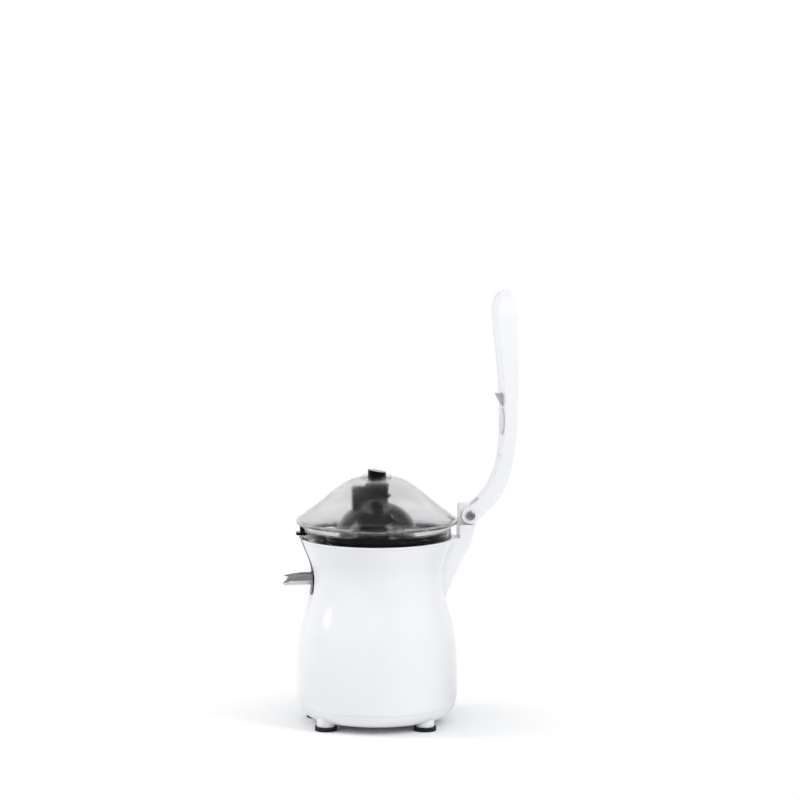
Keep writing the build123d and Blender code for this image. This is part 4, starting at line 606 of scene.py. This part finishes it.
def roomTone(tree, direction, look):
    # what a ray finds far away: plain white for the camera and through clear plastic, and for
    # mirrors the white sweep behind the press and a dimmer room in front of it
    path = tree.nodes.new("ShaderNodeLightPath").outputs
    axes = tree.nodes.new("ShaderNodeSeparateXYZ")
    plug(tree, axes.inputs["Vector"], direction)
    room = mapNode(tree, axes.outputs["X"], (look["sweepEnd"], look["roomStart"]), (1.0, look["frontRoom"]))
    room.interpolation_type = "SMOOTHSTEP"
    unmirrored = mathNode(tree, "LESS_THAN", path["Glossy Depth"], 0.5)
    through = mathNode(tree, "MULTIPLY", path["Is Transmission Ray"], unmirrored)
    straight = mathNode(tree, "MAXIMUM", path["Is Camera Ray"], through)
    tone = mathNode(tree, "MAXIMUM", room.outputs["Result"], straight)
    bounced = mathNode(tree, "MAXIMUM", path["Is Glossy Ray"], path["Is Transmission Ray"])
    seen = mathNode(tree, "MAXIMUM", bounced, path["Is Camera Ray"])
    return tone, seen


def makeFloor(look):
    # a flat disc of pale paper that fades into the white surroundings: its rim's points lie at equal
    # angles on one circle
    steps = look["floorSteps"]
    turn = np.linspace(0.0, 2 * np.pi, steps, endpoint=False)
    rim = np.stack([np.cos(turn), np.sin(turn), np.zeros(steps)], axis=-1) * look["floorRadius"]
    mesh = meshFrom("studioFloor", rim, np.arange(steps), np.array([steps]))
    floor = bpy.data.objects.new("studioFloor", mesh)
    bpy.context.scene.collection.objects.link(floor)
    g = Graph("studioFloor")
    clean, worn = look["floorTone"], look["floorTone"] * look["floorWorn"]
    tone = g.blend(g.span(g.noise(look["floorGrain"], 3.0), 0.0, 1.0), rgb((clean,) * 3), rgb((worn,) * 3))
    paper = g.add("ShaderNodeBsdfDiffuse", Color=tone)
    glowTone, seen = roomTone(g.tree, g.vectorMath("NORMALIZE", g.coord, "Vector"), look)
    glow = g.add("ShaderNodeEmission", Color=glowTone, Strength=1.0)
    away = g.vectorMath("LENGTH", g.coord, "Value")
    fade = g.span(away, 0.0, 1.0, look["fadeStart"], look["fadeEnd"])
    mix = g.tree.nodes.new("ShaderNodeMixShader")
    plug(g.tree, mix.inputs[0], mathNode(g.tree, "MULTIPLY", fade, seen))
    plug(g.tree, mix.inputs[1], paper.outputs[0])
    plug(g.tree, mix.inputs[2], glow.outputs[0])
    plug(g.tree, g.out.inputs["Surface"], mix.outputs[0])
    mesh.materials.append(g.mat)


def makeWorld(look):
    # the tone of roomTone for rays that see the surroundings, and a soft fill for all others
    world = bpy.data.worlds.new("studioWhite")
    world.use_nodes = True
    bpy.context.scene.world = world
    tree = world.node_tree
    tree.nodes.clear()
    out = tree.nodes.new("ShaderNodeOutputWorld")
    ray = tree.nodes.new("ShaderNodeTexCoord")
    tone, seen = roomTone(tree, ray.outputs["Generated"], look)
    white = tree.nodes.new("ShaderNodeBackground")
    plug(tree, white.inputs["Color"], tone)
    white.inputs["Strength"].default_value = 1.0
    soft = tree.nodes.new("ShaderNodeBackground")
    soft.inputs["Color"].default_value = rgb(look["fillTint"])
    soft.inputs["Strength"].default_value = look["fill"]
    mix = tree.nodes.new("ShaderNodeMixShader")
    plug(tree, mix.inputs[0], seen)
    plug(tree, mix.inputs[1], soft.outputs[0])
    plug(tree, mix.inputs[2], white.outputs[0])
    plug(tree, out.inputs["Surface"], mix.outputs[0])


makeFloor(stageLook)
makeWorld(stageLook)

lampAim = (0.0, 0.0, 0.45)
lampLooks = {
    "softBoxLeft": {"place": (-0.1, -1.3, 0.95), "size": (0.36, 1.1), "power": 9.0, "mirrored": True},
    "softBoxRight": {"place": (0.98, 0.88, 1.12), "size": (0.34, 1.0), "power": 9.0, "mirrored": True},
    "softBoxFront": {"place": (1.9, -0.1, 1.3), "size": (1.2, 1.2), "power": 8.0, "mirrored": False},
}


def makeLamp(name, look):
    data = bpy.data.lights.new(name, "AREA")
    data.shape = "RECTANGLE"
    data.size, data.size_y = look["size"]
    data.energy = look["power"]
    lamp = bpy.data.objects.new(name, data)
    lamp.location = look["place"]
    lamp.rotation_euler = (Vector(lampAim) - Vector(look["place"])).to_track_quat("-Z", "Y").to_euler()
    bpy.context.scene.collection.objects.link(lamp)
    lamp.visible_glossy = look["mirrored"]


for lampName, lampLook in lampLooks.items():
    makeLamp(lampName, lampLook)
print("stage ready")
